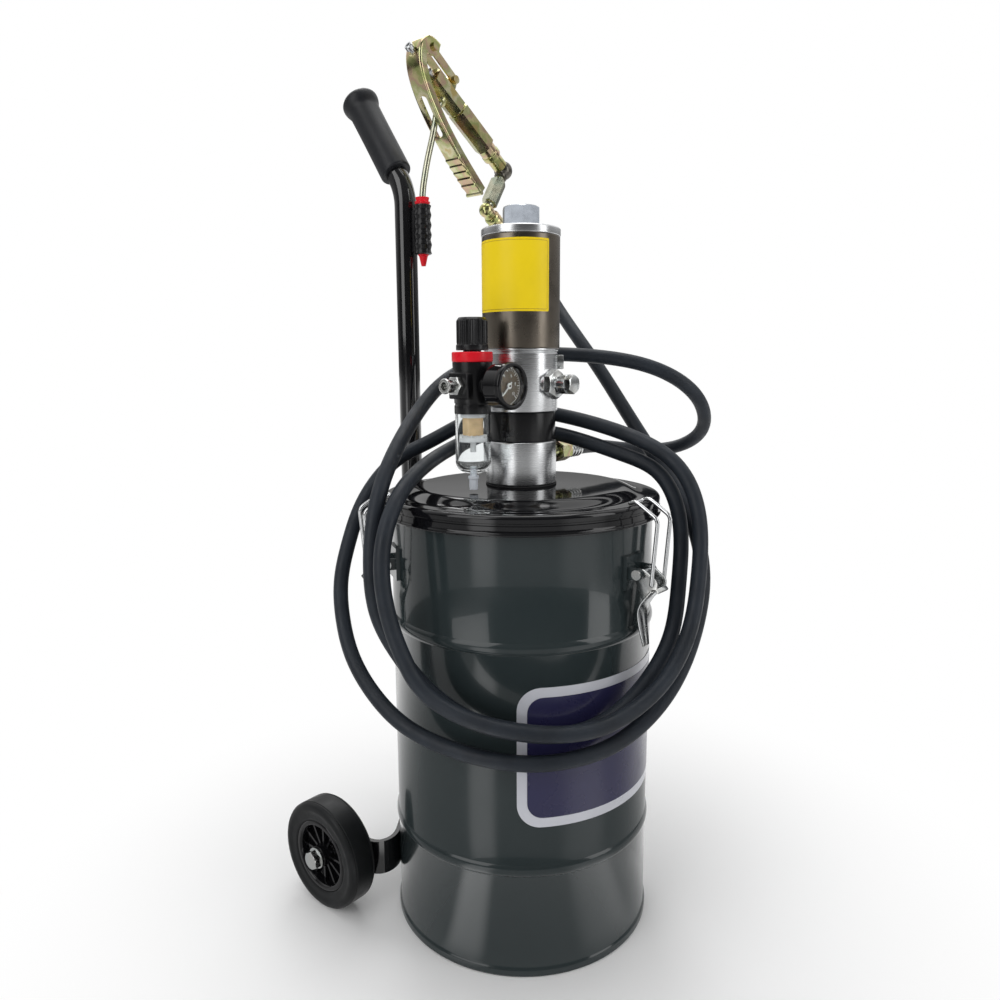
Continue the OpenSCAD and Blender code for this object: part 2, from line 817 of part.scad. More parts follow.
module filter_bowl() {
    dome_h = 12;
    inner_r = bowl_r - bowl_t;
    color([0.85, 0.87, 0.88, 0.5])
        translate([-reg_x, 0, bowl_z])
            difference() {
                rotate_extrude()
                    polygon(concat([[0, 0], [8, 0]], arc([bowl_r - dome_h, dome_h], dome_h, -70, 0, 6),
                                   [[bowl_r, bowl_h], [0, bowl_h]]));
                rotate_extrude()
                    polygon(concat([[0, bowl_t + 2]],
                                   arc([bowl_r - dome_h, dome_h + 2], dome_h - bowl_t, -70, 0, 6),
                                   [[inner_r, bowl_h + 1], [0, bowl_h + 1]]));
                translate([0, 0, -eps])
                    cylinder(h = bowl_h / 2, r = drain_d / 2 - 2 + fit);
            }
}
module filter_element() {
    element_r = 9;
    element_h = 24;
    cone_h = 3;
    plate_r = 13.5;
    color([0.85, 0.70, 0.48])
        translate([-reg_x, 0, reg_z - element_h]) {
            cylinder(h = element_h, r = element_r);
            translate([0, 0, -cone_h])
                cylinder(h = cone_h, r = plate_r);
            translate([0, 0, -cone_h - 12])
                cylinder(h = 12, r = 3);
        }
}
module drain_valve() {
    grip_r = drain_d / 2;
    color([0.80, 0.82, 0.88])
        translate([-reg_x, 0, bowl_z - drain_travel - gap - drain_h + 2]) {
            cylinder(h = drain_h - 5, r = grip_r - 1);
            translate([0, 0, drain_h - 5])
                cylinder(h = 3, r = grip_r);
            translate([0, 0, drain_h - 2])
                cylinder(h = 8, r = grip_r - 2);
        }
}
module gauge_case() {
    r = gauge_d / 2;
    color(gloss_black)
        translate([-reg_x, 0, port_z])
            along_minus_y() {
                difference() {
                    translate([0, 0, gauge_back])
                        rotate_extrude()
                            polygon([[0, 0], [r - 4, 0], [r - 1.5, 2.5], [r - 1.5, gauge_h - 6],
                                     [r, gauge_h - 5], [r, gauge_h - 1], [r - 1, gauge_h], [0, gauge_h]]);
                    translate([0, 0, gauge_face - dial_depth - 1])
                        cylinder(h = dial_depth + 2, r = r - gauge_wall);
                }
                translate([0, 0, reg_r + 2])
                    cylinder(h = gauge_back - reg_r - 2, r = 7);
                translate([0, 0, reg_r - 6])
                    cylinder(h = 8, r = 5);
            }
}
module gauge_dial() {
    pin_r = 1;
    color([0.55, 0.46, 0.30])
        translate([-reg_x, 0, port_z])
            along_minus_y() {
                translate([0, 0, gauge_face - dial_depth - 1])
                    cylinder(h = 1, r = gauge_d / 2 - gauge_wall);
                translate([0, 0, gauge_face - dial_depth])
                    cylinder(h = 3, r = pin_r);
            }
}
module gauge_needle() {
    hub_r = 3;
    tip = gauge_d / 2 - gauge_wall - 4;
    needle_t = 0.8;
    color("white")
        translate([-reg_x, 0, port_z])
            along_minus_y()
                translate([0, 0, gauge_face - dial_depth + 1])
                    difference() {
                        union() {
                            cylinder(h = needle_t, r = hub_r);
                            rotate([0, 0, 225])
                                linear_extrude(height = needle_t)
                                    polygon([[-6, -1.2], [tip, -0.4], [tip, 0.4], [-6, 1.2]]);
                        }
                        translate([0, 0, -eps])
                            cylinder(h = needle_t + 2 * eps, r = 1 + fit);
                    }
}
module gauge_lens() {
    color([0.9, 0.93, 0.95, 0.4])
        translate([-reg_x, 0, port_z])
            along_minus_y()
                translate([0, 0, gauge_face - lens_t - 1])
                    cylinder(h = lens_t, r = gauge_d / 2 - gauge_wall);
}
module inlet_nipple() {
    hex_h = 7;
    tail_h = 13;
    bore_r = 4;
    color(zinc)
        translate([-inlet_face, 0, port_z])
            along_minus_x()
                difference() {
                    union() {
                        translate([0, 0, -8])
                            cylinder(h = 8, r = port_r - 2.5);
                        hexagon(17, hex_h);
                        translate([0, 0, hex_h])
                            rotate_extrude()
                                polygon([[0, 0], [6.6, 0], [6.6, tail_h - 3], [7.6, tail_h - 2],
                                         [7.6, tail_h - 1], [6.8, tail_h], [0, tail_h]]);
                    }
                    translate([0, 0, -8 - eps])
                        cylinder(h = 40, r = bore_r);
                }
}
module side_fitting() {
    start = valve_d / 2 + boss_out;
    color(zinc)
        translate([0, 0, port_z])
            along_minus_y() {
                translate([0, 0, start - 12])
                    cylinder(h = 12, r = port_r);
                translate([0, 0, start])
                    chamfered_hexagon(27, 8, 2);
                translate([0, 0, start + 8])
                    cylinder(h = 4, r = 8);
                translate([0, 0, start + 12])
                    cylinder(h = 10, r = 10);
                translate([0, 0, start + 22])
                    chamfered_hexagon(17.3, 7, 1.5);
            }
}

// Grease line
module outlet_fitting() {
    color(yellow_zinc)
        translate([0, 0, outlet_z])
            along_x() {
                translate([0, 0, outlet_face - 12])
                    cylinder(h = 12, r = port_r - 1);
                translate([0, 0, outlet_face])
                    rotate([0, 0, 30])
                        chamfered_hexagon(20, 9, 1.5);
                translate([0, 0, outlet_face + 9])
                    cylinder(h = nut_start - outlet_face - 9, r = 8);
                translate([0, 0, nut_start])
                    rotate([0, 0, 30])
                        chamfered_hexagon(22, ferrule_start - nut_start, 2);
            }
}
module ferrule() {
    r = ferrule_d / 2;
    step = ferrule_l / 8;
    rotate_extrude()
        polygon(concat([[0, 0], [r - 1, 0]],
                       [for (k = [1 : 7]) [r - (k % 2 == 0 ? 0.8 : 0), k * step]],
                       [[r - 0.6, ferrule_l], [0, ferrule_l]]));
}
module hose_ferrule_pump() {
    color(zinc)
        translate([ferrule_start, 0, outlet_z])
            along_x()
                ferrule();
}
module hose() {
    color(rubber)
        swept_tube(curve(hose_route, hose_rings - 1), hose_d / 2, hose_sides, [0, 0, 1]);
}
module hose_ferrule_gun() {
    color(yellow_zinc)
        gun_frame()
            translate([tail_u, 0, swivel_w])
                along_x()
                    ferrule();
}
module gun_swivel() {
    stem_r = 6;
    hex_from = -elbow_r - 6;
    hex_to = swivel_w + 10;
    color(zinc)
        gun_frame() {
            translate([elbow_u, 0, swivel_w])
                cylinder(h = -swivel_w - elbow_r, r = stem_r);
            translate([elbow_u, 0, hex_to])
                hexagon(18, hex_from - hex_to);
            translate([elbow_u, 0, swivel_w])
                sphere(r = 9);
            translate([elbow_u, 0, swivel_w])
                along_x()
                    cylinder(h = tail_u - elbow_u, r = 8);
        }
}

// Grease gun
module gun_body() {
    neck_r = 9;
    lug_w = link_pin[1];
    color(yellow_zinc)
        gun_frame()
            difference() {
                union() {
                    along_x() {
                        rotate([0, 0, 30])
                            hexagon(gun_af, hex_l);
                        translate([0, 0, hex_l])
                            rotate_extrude()
                                polygon([[0, -2], [gun_af / 2 - 1, -2], [gun_af / 2 - 1, 0],
                                         [gun_d / 2 - 1, 0], [gun_d / 2, 1], [gun_d / 2, barrel_end - hex_l],
                                         [neck_r, neck_u - hex_l], [neck_r, elbow_u - hex_l],
                                         [0, elbow_u - hex_l]]);
                    }
                    translate([elbow_u, 0, 0])
                        sphere(r = elbow_r);
                    translate([elbow_u, 0, -elbow_r])
                        cylinder(h = elbow_r, r = 8);
                    upright(-link_y + 0.5, link_y - 0.5) {
                        translate(link_pin)
                            circle(d = pin_d + 7);
                        translate([link_pin[0] - 8, 0])
                            square([16, lug_w]);
                    }
                    translate([spout_u, 0, -gun_af / 2 - 3])
                        cylinder(h = 6, r = spout_d / 2 + 2.5);
                }
                translate([-eps, 0, 0])
                    along_x()
                        cylinder(h = hex_l, r = stem_d / 2 + fit);
                translate([link_pin[0], 0, link_pin[1]])
                    along_minus_y()
                        cylinder(h = 4 * link_y, d = pin_d, center = true);
                translate([elbow_u, 0, -elbow_r - eps])
                    cylinder(h = 6, r = 4);
            }
}
module gun_trigger() {
    web = curve(trigger_path, 24);
    half = trigger_w / 2;
    rib_us = [76, 85, 94, 103, 112];
    color(yellow_zinc)
        gun_frame()
            difference() {
                union() {
                    upright(-half, half)
                        polygon(strip(web, -trigger_t / 2, trigger_t / 2));
                    both_cheeks(half - trigger_t, half) {
                        polygon(strip(web, 0, trigger_flange));
                        translate(pivot)
                            circle(d = pin_d + 10);
                        polygon([[-14, 28], [-32, 24], [-36, 8], [-22, 6], [-14, 14]]);
                    }
                    for (u = rib_us)
                        translate([u, 0, trigger_web_w(u) - 1])
                            along_minus_y()
                                cylinder(h = trigger_w - 4, r = 1.6, center = true);
                    translate([trigger_path[7][0], 0, trigger_path[7][1]])
                        along_minus_y()
                            cylinder(h = trigger_w, r = 2.5, center = true);
                    translate([screw_u, 0, 0])
                        along_x()
                            cylinder(h = 6, d = screw_d + 6);
                }
                translate([pivot[0], 0, pivot[1]])
                    along_minus_y()
                        cylinder(h = 2 * trigger_w, r = pin_d / 2 + fit, center = true);
                translate([window_u[0], -window_w / 2, -64])
                    cube([window_u[1] - window_u[0], window_w, 50]);
                translate([screw_u - 20, 0, 0])
                    along_x()
                        cylinder(h = 60, d = screw_d);
            }
}
// Height of the trigger web over its own run, between the last bends of its path
function trigger_web_w(u) = let (a = trigger_path[6], b = trigger_path[7])
    a[1] + (b[1] - a[1]) * (u - a[0]) / (b[0] - a[0]);
module adjusting_screw() {
    tip_u = -stem_out - 2 * gap;
    color(zinc)
        gun_frame()
            along_x() {
                translate([0, 0, screw_u - screw_out])
                    cylinder(h = tip_u - screw_u + screw_out, d = screw_d);
                translate([0, 0, screw_u - screw_out])
                    hexagon(10, 5);
            }
}
module trigger_pins() {
    head_t = 2.5;
    reach = trigger_w / 2;
    link_reach = link_y + link_t;
    color(zinc)
        gun_frame() {
            translate([pivot[0], 0, pivot[1]])
                along_minus_y() {
                    cylinder(h = 2 * reach, d = pin_d, center = true);
                    for (side = [-1, 1])
                        translate([0, 0, side * (reach + gap + head_t / 2)])
                            cylinder(h = head_t + 2 * gap, d = pin_d + 3, center = true);
                }
            translate([link_pin[0], 0, link_pin[1]])
                along_minus_y() {
                    cylinder(h = 2 * link_reach, d = pin_d, center = true);
                    for (side = [-1, 1])
                        translate([0, 0, side * (link_reach + head_t / 2)])
                            cylinder(h = head_t, d = pin_d + 3, center = true);
                }
        }
}
module trigger_links() {
    half = 5;
    color(yellow_zinc)
        gun_frame()
            both_cheeks(link_y, link_y + link_t)
                difference() {
                    union() {
                        translate(pivot)
                            circle(r = half);
                        translate(link_pin)
                            circle(r = half);
                        polygon(strip([pivot, link_pin], -half, half));
                    }
                    translate(pivot)
                        circle(d = pin_d);
                    translate(link_pin)
                        circle(d = pin_d);
                }
}
module valve_stem() {
    button_h = 2;
    color(zinc)
        gun_frame()
            along_x() {
                translate([0, 0, -stem_out])
                    cylinder(h = 36, d = stem_d);
                translate([0, 0, -stem_out])
                    cylinder(h = button_h, d = stem_d + 3);
            }
}
module gun_spout() {
    start = [for (w = [-gun_af / 2 - 3, -gun_af / 2 - 14]) gun_point(spout_u, w)];
    bends = concat([for (p = start) [p[0], p[2]]], spout_bends);
    color(zinc)
        translate([0, gun_y, 0])
            bent_rod(bends, spout_d / 2);
}
module spout_sleeve() {
    bore_r = spout_d / 2 + 0.6;
    color([0.88, 0.16, 0.14])
        translate([0, gun_y, holder_z])
            difference() {
                rotate_extrude()
                    polygon([[0, -13], [2.5, -13], [5, -2], [holder_bore, -gap], [holder_bore, holder_h],
                             [sleeve_flange - 1, holder_h], [sleeve_flange, holder_h + 3],
                             [sleeve_flange - 2, holder_h + 4], [sleeve_flange - 1, holder_h + 8],
                             [0, holder_h + 8]]);
                cylinder(h = holder_h + 20, r = bore_r);
            }
}
module gun_holder() {
    r = holder_d / 2;
    dip = 1.2;
    rib_h = holder_h / holder_ribs;
    outline = concat([[holder_bore, 0], [r - 1.5, 0]],
        [for (k = [1 : 8 * holder_ribs - 1]) [r - dip * (1 - cos(360 * k / 8)) / 2, k * rib_h / 8]],
        [[r - 1, holder_h], [holder_bore, holder_h]]);
    web_t = 6;
    color(gloss_black)
        difference() {
            union() {
                translate([0, gun_y, holder_z])
                    rotate_extrude()
                        polygon(outline);
                translate([-web_t / 2, gun_y + holder_bore + 1, holder_z + 4])
                    cube([web_t, post_y - gun_y - holder_bore - 1, holder_h - 8]);
            }
            translate([0, post_y, holder_z - 10])
                cylinder(h = holder_h + 20, r = post_r);
        }
}

// Handle
function post_path(extra) = concat(
    [[post_y, post_bottom - extra]],
    [for (t = [0 : bend_a / 4 : bend_a]) [post_y + bend_r * (1 - cos(t)), bend_z + bend_r * sin(t)]],
    [[post_y + bend_r * (1 - cos(bend_a)), bend_z + bend_r * sin(bend_a)]
     + (post_top + grip_l - 8 + extra) * [sin(bend_a), cos(bend_a)]]
);
module bend_frame() {
    translate([0, post_y + bend_r, bend_z])
        rotate([-bend_a, 0, 0])
            translate([0, -bend_r, 0])
                children();
}
module handle_post() {
    color(gloss_black)
        rotate([0, 0, 90])
            difference() {
                bent_rod(post_path(0), post_r);
                bent_rod(post_path(1), post_r - post_wall);
            }
}
module handle_grip() {
    r = grip_d / 2;
    flare = r + 3.5;
    color(rubber)
        bend_frame()
            translate([0, 0, post_top])
                rotate_extrude()
                    polygon([[post_r, 0], [r - 1, 0], [r, 2], [r, grip_l - 16], [flare - 1, grip_l - 12],
                             [flare, grip_l - 8], [flare, grip_l - 4], [flare - 3, grip_l], [0, grip_l],
                             [0, grip_l - 8], [post_r, grip_l - 8]]);
}
module post_brackets() {
    sleeve_r = post_r + bracket_wall;
    plate_w = 44;
    color(paint_dark)
        for (z = bracket_zs)
            translate([0, 0, z])
                difference() {
                    union() {
                        translate([0, post_y, 0])
                            cylinder(h = bracket_h, r = sleeve_r);
                        translate([-plate_w / 2, drum_r - 10, 0])
                            cube([plate_w, 13, bracket_h]);
                        translate([-sleeve_r + 6, drum_r, 0])
                            cube([2 * sleeve_r - 12, post_y - drum_r, bracket_h]);
                    }
                    translate([0, post_y, -eps])
                        cylinder(h = bracket_h + 2 * eps, r = post_r);
                    translate([0, 0, -eps])
                        cylinder(h = bracket_h + 2 * eps, r = drum_r, $fn = 128);
                }
}

// Wheels
module wheel_brackets() {
    foot_a = 54;
    foot_r = drum_r + bar_t / 2;
    bar = curve([
        foot_r * [cos(foot_a + 10), sin(foot_a + 10)],
        foot_r * [cos(foot_a), sin(foot_a)],
        foot_r * [cos(foot_a - 10), sin(foot_a - 10)],
        [leg_x - 14, wheel_y - 60],
        [leg_x, wheel_y - 52],
        [leg_x, wheel_y - 24],
        [leg_x, wheel_y + 22]
    ], 20);
    nut_h = 10;
    color(gloss_black)
        for (side = [-1, 1])
            difference() {
                union() {
                    translate([0, 0, wheel_r - bar_h / 2])
                        linear_extrude(height = bar_h)
                            mirror([side < 0 ? 1 : 0, 0])
                                polygon(strip(bar, -bar_t / 2, bar_t / 2));
                    translate([side * leg_x, wheel_y, wheel_r])
                        rotate([0, -side * 90, 0])
                            hexagon(19, nut_h + bar_t / 2);
                }
                translate([0, 0, -eps])
                    cylinder(h = wheel_d, r = drum_r, $fn = 128);
                translate([side * leg_x, wheel_y, wheel_r])
                    along_x()
                        cylinder(h = 60, d = axle_d, center = true);
            }
}
module axle_bolts() {
    shank_from = leg_x - bar_t / 2 - 10;
    head_from = wheel_x + wheel_w / 2 + 2 * gap;
    head_h = 8;
    washer_t = 2;
    color(zinc)
        for (side = [-1, 1])
            translate([0, wheel_y, wheel_r])
                rotate([0, side * 90, 0]) {
                    translate([0, 0, shank_from])
                        cylinder(h = head_from - shank_from, d = axle_d);
                    translate([0, 0, leg_x + bar_t / 2])
                        cylinder(h = 2 - gap, d = axle_d + 6);
                    translate([0, 0, head_from])
                        cylinder(h = washer_t, d = axle_d + 12);
                    translate([0, 0, head_from + washer_t])
                        chamfered_hexagon(19, head_h, 1.5);
                }
}
module tyre(side) {
    half = wheel_w / 2;
    crown = 7;
    color(rubber)
        translate([side * wheel_x, wheel_y, wheel_r])
            along_x()
                rotate_extrude($fn = 96)
                    polygon(concat([[hub_r, -half + 3]],
                        arc([wheel_r - crown, -half + crown], crown, -90, 0, 5),
                        arc([wheel_r - crown, half - crown], crown, 0, 90, 5),
                        [[hub_r, half - 3]]));
}
module tyre_left() { tyre(-1); }
module tyre_right() { tyre(1); }
module hub(side) {
    half = wheel_w / 2;
    rim_t = 5;
    web_t = 6;
    boss_d = axle_d + 14;
    spokes = 12;
    color(gloss_black)
        translate([side * wheel_x, wheel_y, wheel_r])
            along_x()
                difference() {
                    union() {
                        rotate_extrude($fn = 96)
                            polygon([[hub_r - rim_t, -half + 3], [hub_r, -half + 3],
                                     [hub_r, half - 3], [hub_r - rim_t, half - 3]]);
                        translate([0, 0, -web_t / 2])
                            cylinder(h = web_t, r = hub_r - 1);
                        translate([0, 0, -half])
                            cylinder(h = wheel_w, d = boss_d);
                        for (k = [0 : spokes - 1])
                            rotate([0, 0, 360 * k / spokes])
                                translate([boss_d / 2 - 2, -1.5, -half + 6])
                                    cube([hub_r - rim_t - boss_d / 2 + 3, 3, wheel_w - 12]);
                    }
                    cylinder(h = 2 * wheel_w, r = axle_d / 2 + fit, center = true);
                }
}
module hub_left() { hub(-1); }
module hub_right() { hub(1); }

drum();
lid();
lid_gasket();
latch_brackets();
latch_pins();
latch_lever_front();
latch_lever_right();
latch_lever_left();
latch_bail_front();
latch_bail_right();
latch_bail_left();
pump_base();
pump_spacer();
air_valve_body();
air_cylinder();
cylinder_cap();
cap_plug();
air_piston();
pump_rod();
suction_tube();
foot_valve();
check_ball();
follower_plate();
follower_wiper();
air_nipple();
regulator_body();
regulator_knob();
regulator_ring();
filter_bowl();
filter_element();
drain_valve();
gauge_case();
gauge_dial();
gauge_needle();
gauge_lens();
inlet_nipple();
side_fitting();
outlet_fitting();
hose_ferrule_pump();
hose();
hose_ferrule_gun();
gun_swivel();
gun_body();
gun_trigger();
trigger_pins();
trigger_links();
adjusting_screw();
valve_stem();
gun_spout();
spout_sleeve();
gun_holder();
handle_post();
handle_grip();
post_brackets();
wheel_brackets();
axle_bolts();
tyre_left();
tyre_right();
hub_left();
hub_right();
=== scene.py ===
import json
import math

import bmesh
import bpy
from mathutils import Matrix, Vector


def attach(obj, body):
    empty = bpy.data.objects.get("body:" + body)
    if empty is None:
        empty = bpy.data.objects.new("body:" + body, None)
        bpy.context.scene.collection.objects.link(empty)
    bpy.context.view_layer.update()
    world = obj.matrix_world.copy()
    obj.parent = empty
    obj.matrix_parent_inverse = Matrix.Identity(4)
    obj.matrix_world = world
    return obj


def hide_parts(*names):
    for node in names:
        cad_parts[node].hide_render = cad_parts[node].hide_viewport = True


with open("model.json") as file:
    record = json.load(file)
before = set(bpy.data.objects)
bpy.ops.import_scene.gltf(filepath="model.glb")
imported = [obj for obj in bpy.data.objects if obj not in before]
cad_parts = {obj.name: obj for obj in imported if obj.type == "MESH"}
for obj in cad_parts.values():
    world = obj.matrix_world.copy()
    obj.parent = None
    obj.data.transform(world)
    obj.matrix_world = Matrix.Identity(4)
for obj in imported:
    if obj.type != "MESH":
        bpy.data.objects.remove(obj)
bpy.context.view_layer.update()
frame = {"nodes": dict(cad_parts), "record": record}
scene = bpy.context.scene
MM = 0.001
STAND = "stand"
SHARP = math.radians(38)  # edges that turn more than this stay sharp
AWAY = (0.766, 0.643, 0.0)  # level direction away from the camera
ROOM_LEVEL, FLOOR_LEVEL = 0.42, 0.42

# Camera at the photograph's viewing angle
CAM_POS = Vector((-0.6840, -0.5437, 0.6202))
CAM_PITCH = math.radians(9.68)
CAM_ROLL = math.radians(-0.334)
flat = Vector(AWAY).normalized()
right = Vector((flat.y, -flat.x, 0.0))
ahead = (flat * math.cos(CAM_PITCH) - Vector((0, 0, math.sin(CAM_PITCH)))).normalized()
upward = right.cross(ahead)
cam_x = right * math.cos(CAM_ROLL) + upward * math.sin(CAM_ROLL)
cam_y = upward * math.cos(CAM_ROLL) - right * math.sin(CAM_ROLL)
cam_data = bpy.data.cameras.new("photo_camera")
cam_data.sensor_width = 36.0
cam_data.lens = 28.97
cam_data.clip_start = 0.02
camera = bpy.data.objects.new("photo_camera", cam_data)
camera.matrix_world = Matrix((
    (cam_x.x, cam_y.x, -ahead.x, CAM_POS.x),
    (cam_x.y, cam_y.y, -ahead.y, CAM_POS.y),
    (cam_x.z, cam_y.z, -ahead.z, CAM_POS.z),
    (0, 0, 0, 1)))
scene.collection.objects.link(camera)
scene.camera = camera


# Materials
def socket(shader, name, value):
    shader.inputs[name].default_value = value


def material(name, color, rough, metal=0.0, var=0.10, scale=14.0, stretch=(1, 1, 1), rough_var=0.08,
             bump=0.05, bump_scale=500.0, bump_stretch=(1, 1, 1), coat=0.0, coat_rough=0.08,
             tints=(), wave=0.0, **sockets):
    """Procedural surface: colour and roughness wander, and a fine bump breaks the reflections."""
    m = bpy.data.materials.new(name)
    m.use_nodes = True
    tree = m.node_tree
    shader = tree.nodes["Principled BSDF"]
    link = tree.links.new
    coord = tree.nodes.new("ShaderNodeTexCoord")

    def noise(noise_scale, squeeze, detail=4.0):
        mapping = tree.nodes.new("ShaderNodeMapping")
        mapping.inputs["Scale"].default_value = squeeze
        n = tree.nodes.new("ShaderNodeTexNoise")
        n.inputs["Scale"].default_value = noise_scale
        n.inputs["Detail"].default_value = detail
        link(coord.outputs["Object"], mapping.inputs["Vector"])
        link(mapping.outputs["Vector"], n.inputs["Vector"])
        return n.outputs["Fac"]

    ramp = tree.nodes.new("ShaderNodeValToRGB")
    steps = [[c * (1 - var) for c in color], *tints, [min(1.0, c * (1 + var)) for c in color]]
    stops = ramp.color_ramp.elements
    for _ in tints:
        stops.new(0.5)
    for k, step in enumerate(steps):
        stops[k].position = 0.32 + 0.36 * k / (len(steps) - 1)
        stops[k].color = (*step, 1)
    link(noise(scale, stretch), ramp.inputs["Fac"])
    link(ramp.outputs["Color"], shader.inputs["Base Color"])
    polish = tree.nodes.new("ShaderNodeMapRange")
    polish.inputs["From Min"].default_value = 0.3
    polish.inputs["From Max"].default_value = 0.7
    polish.inputs["To Min"].default_value = max(0.02, rough - rough_var)
    polish.inputs["To Max"].default_value = min(1.0, rough + rough_var)
    link(noise(scale * 2.7, stretch, 6.0), polish.inputs["Value"])
    link(polish.outputs["Result"], shader.inputs["Roughness"])
    normal = None
    fine, broad = (bump, bump_scale, bump_stretch, 0.0006), (wave, 9.0, (1, 1, 1), 0.02)
    for strength, size, squeeze, depth in (fine, broad):
        if strength:
            b = tree.nodes.new("ShaderNodeBump")
            b.inputs["Strength"].default_value = strength
            b.inputs["Distance"].default_value = depth
            link(noise(size, squeeze, 2.0), b.inputs["Height"])
            if normal:
                link(normal, b.inputs["Normal"])
            normal = b.outputs["Normal"]
    if normal:
        link(normal, shader.inputs["Normal"])
    socket(shader, "Metallic", metal)
    socket(shader, "Coat Weight", coat)
    socket(shader, "Coat Roughness", coat_rough)
    for key, value in sockets.items():
        socket(shader, key.replace("_", " "), value)
    return m


LOOKS = {
    "drum_paint": dict(color=(0.025, 0.034, 0.036), rough=0.18, var=0.06, scale=5, coat=0.4,
                       coat_rough=0.03, bump=0.02, bump_scale=200, wave=0.04, Specular_IOR_Level=0.3),
    "lid_paint": dict(color=(0.005, 0.005, 0.006), rough=0.07, var=0.10, scale=8, rough_var=0.02,
                      bump=0.015, bump_scale=220, wave=0.03),
    "black_paint": dict(color=(0.006, 0.006, 0.007), rough=0.10, bump=0.02, bump_scale=300, rough_var=0.03,
                        coat=0.8),
    "rubber": dict(color=(0.010, 0.010, 0.011), rough=0.6, bump=0.15, bump_scale=700),
    "hose_rubber": dict(color=(0.019, 0.024, 0.032), rough=0.46, var=0.20, scale=30, bump=0.30,
                        bump_scale=900, rough_var=0.10, Specular_IOR_Level=0.3),
    "grip_rubber": dict(color=(0.015, 0.016, 0.019), rough=0.40, bump=0.20, bump_scale=1100,
                        Specular_IOR_Level=0.3),
    "tyre": dict(color=(0.010, 0.011, 0.012), rough=0.44, var=0.2, scale=25, bump=0.2, bump_scale=700,
                 Specular_IOR_Level=0.25),
    "zinc": dict(color=(0.62, 0.63, 0.64), rough=0.22, metal=1.0, var=0.10, scale=40, bump=0.03,
                 bump_scale=500, tints=[(0.64, 0.66, 0.66), (0.68, 0.68, 0.66)]),
    "pale_zinc": dict(color=(0.48, 0.48, 0.35), rough=0.22, metal=1.0, var=0.10, scale=40, bump=0.03,
                      bump_scale=500, tints=[(0.60, 0.59, 0.45), (0.44, 0.49, 0.38)]),
    "dark_zinc": dict(color=(0.15, 0.14, 0.12), rough=0.30, metal=1.0, var=0.15, scale=60, bump=0.06,
                      bump_scale=500),
    "plug_steel": dict(color=(0.25, 0.27, 0.30), rough=0.24, metal=1.0, var=0.12, scale=40, bump=0.04,
                       bump_scale=500),
    "wire": dict(color=(0.72, 0.73, 0.74), rough=0.15, metal=1.0, var=0.08, scale=40, bump=0.03,
                 bump_scale=500),
    "yellow_zinc": dict(color=(0.54, 0.43, 0.18), rough=0.20, metal=1.0, var=0.10, scale=32, bump=0.02,
                        bump_scale=420,
                        tints=[(0.42, 0.47, 0.18), (0.66, 0.58, 0.31), (0.58, 0.40, 0.29),
                               (0.50, 0.53, 0.25), (0.74, 0.69, 0.46)]),
    "aluminium": dict(color=(0.72, 0.73, 0.74), rough=0.27, metal=1.0, var=0.02, scale=1.5,
                      stretch=(3, 3, 700), bump=0.01, bump_scale=2.0, bump_stretch=(3, 3, 1200),
                      rough_var=0.03),
    "anodised": dict(color=(0.195, 0.170, 0.140), rough=0.29, metal=1.0, var=0.06, scale=20, bump=0.05,
                     bump_scale=600),
    "steel": dict(color=(0.55, 0.56, 0.57), rough=0.3, metal=1.0, bump=0.05),
    "brass": dict(color=(0.70, 0.54, 0.26), rough=0.28, metal=1.0, bump=0.05),
    "black_plastic": dict(color=(0.007, 0.007, 0.008), rough=0.24, bump=0.05, bump_scale=900,
                          rough_var=0.05, Specular_IOR_Level=0.38),
    "gloss_black": dict(color=(0.006, 0.006, 0.007), rough=0.10, bump=0.02, bump_scale=300, rough_var=0.03,
                        Specular_IOR_Level=0.4),
    "red_plastic": dict(color=(0.74, 0.006, 0.018), rough=0.30, var=0.06, bump=0.03, bump_scale=500,
                        Specular_IOR_Level=0.3),
    "clear_plastic": dict(color=(0.90, 0.92, 0.92), rough=0.06, var=0.01, rough_var=0.02, bump=0.02,
                          bump_scale=120, Transmission_Weight=1.0, IOR=1.24),
    "filter_media": dict(color=(0.62, 0.44, 0.24), rough=0.8, var=0.15, scale=120, bump=0.4,
                         bump_scale=900),
    "white_plastic": dict(color=(0.66, 0.67, 0.68), rough=0.4, var=0.03, bump=0.03),
    "drain_plastic": dict(color=(0.70, 0.74, 0.80), rough=0.35, bump=0.04),
    "gauge_face": dict(color=(0.090, 0.058, 0.026), rough=0.42, var=0.25, scale=60, bump=0.05),
    "white_paint": dict(color=(0.80, 0.80, 0.78), rough=0.4, var=0.03, bump=0.03),
    "navy_print": dict(color=(0.022, 0.021, 0.070), rough=0.28, var=0.06, scale=12, coat=0.2, bump=0.03,
                       wave=0.03),
    "silver_print": dict(color=(0.56, 0.57, 0.62), rough=0.34, var=0.05, scale=20, coat=0.2, bump=0.04),
    "yellow_print": dict(color=(0.94, 0.69, 0.008), rough=0.40, var=0.04, scale=16, bump=0.03,
                         Specular_IOR_Level=0.25),
    "amber_print": dict(color=(0.52, 0.33, 0.004), rough=0.36, var=0.04, scale=16, bump=0.03),
}
M = {name: material(name, **look) for name, look in LOOKS.items()}


# Shapes are (points, faces) in millimetres
def merge(*shapes):
    points, faces = [], []
    for p, f in shapes:
        base = len(points)
        points += p
        faces += [[i + base for i in face] for face in f]
    return points, faces


def place(shape, matrix):
    return [matrix @ Vector(p) for p in shape[0]], shape[1]


def at(x=0, y=0, z=0):
    return Matrix.Translation((x, y, z))


def turn(degrees, axis):
    return Matrix.Rotation(math.radians(degrees), 4, axis)


TO_X, TO_MINUS_X, TO_MINUS_Y = turn(90, "Y"), turn(-90, "Y"), turn(90, "X")


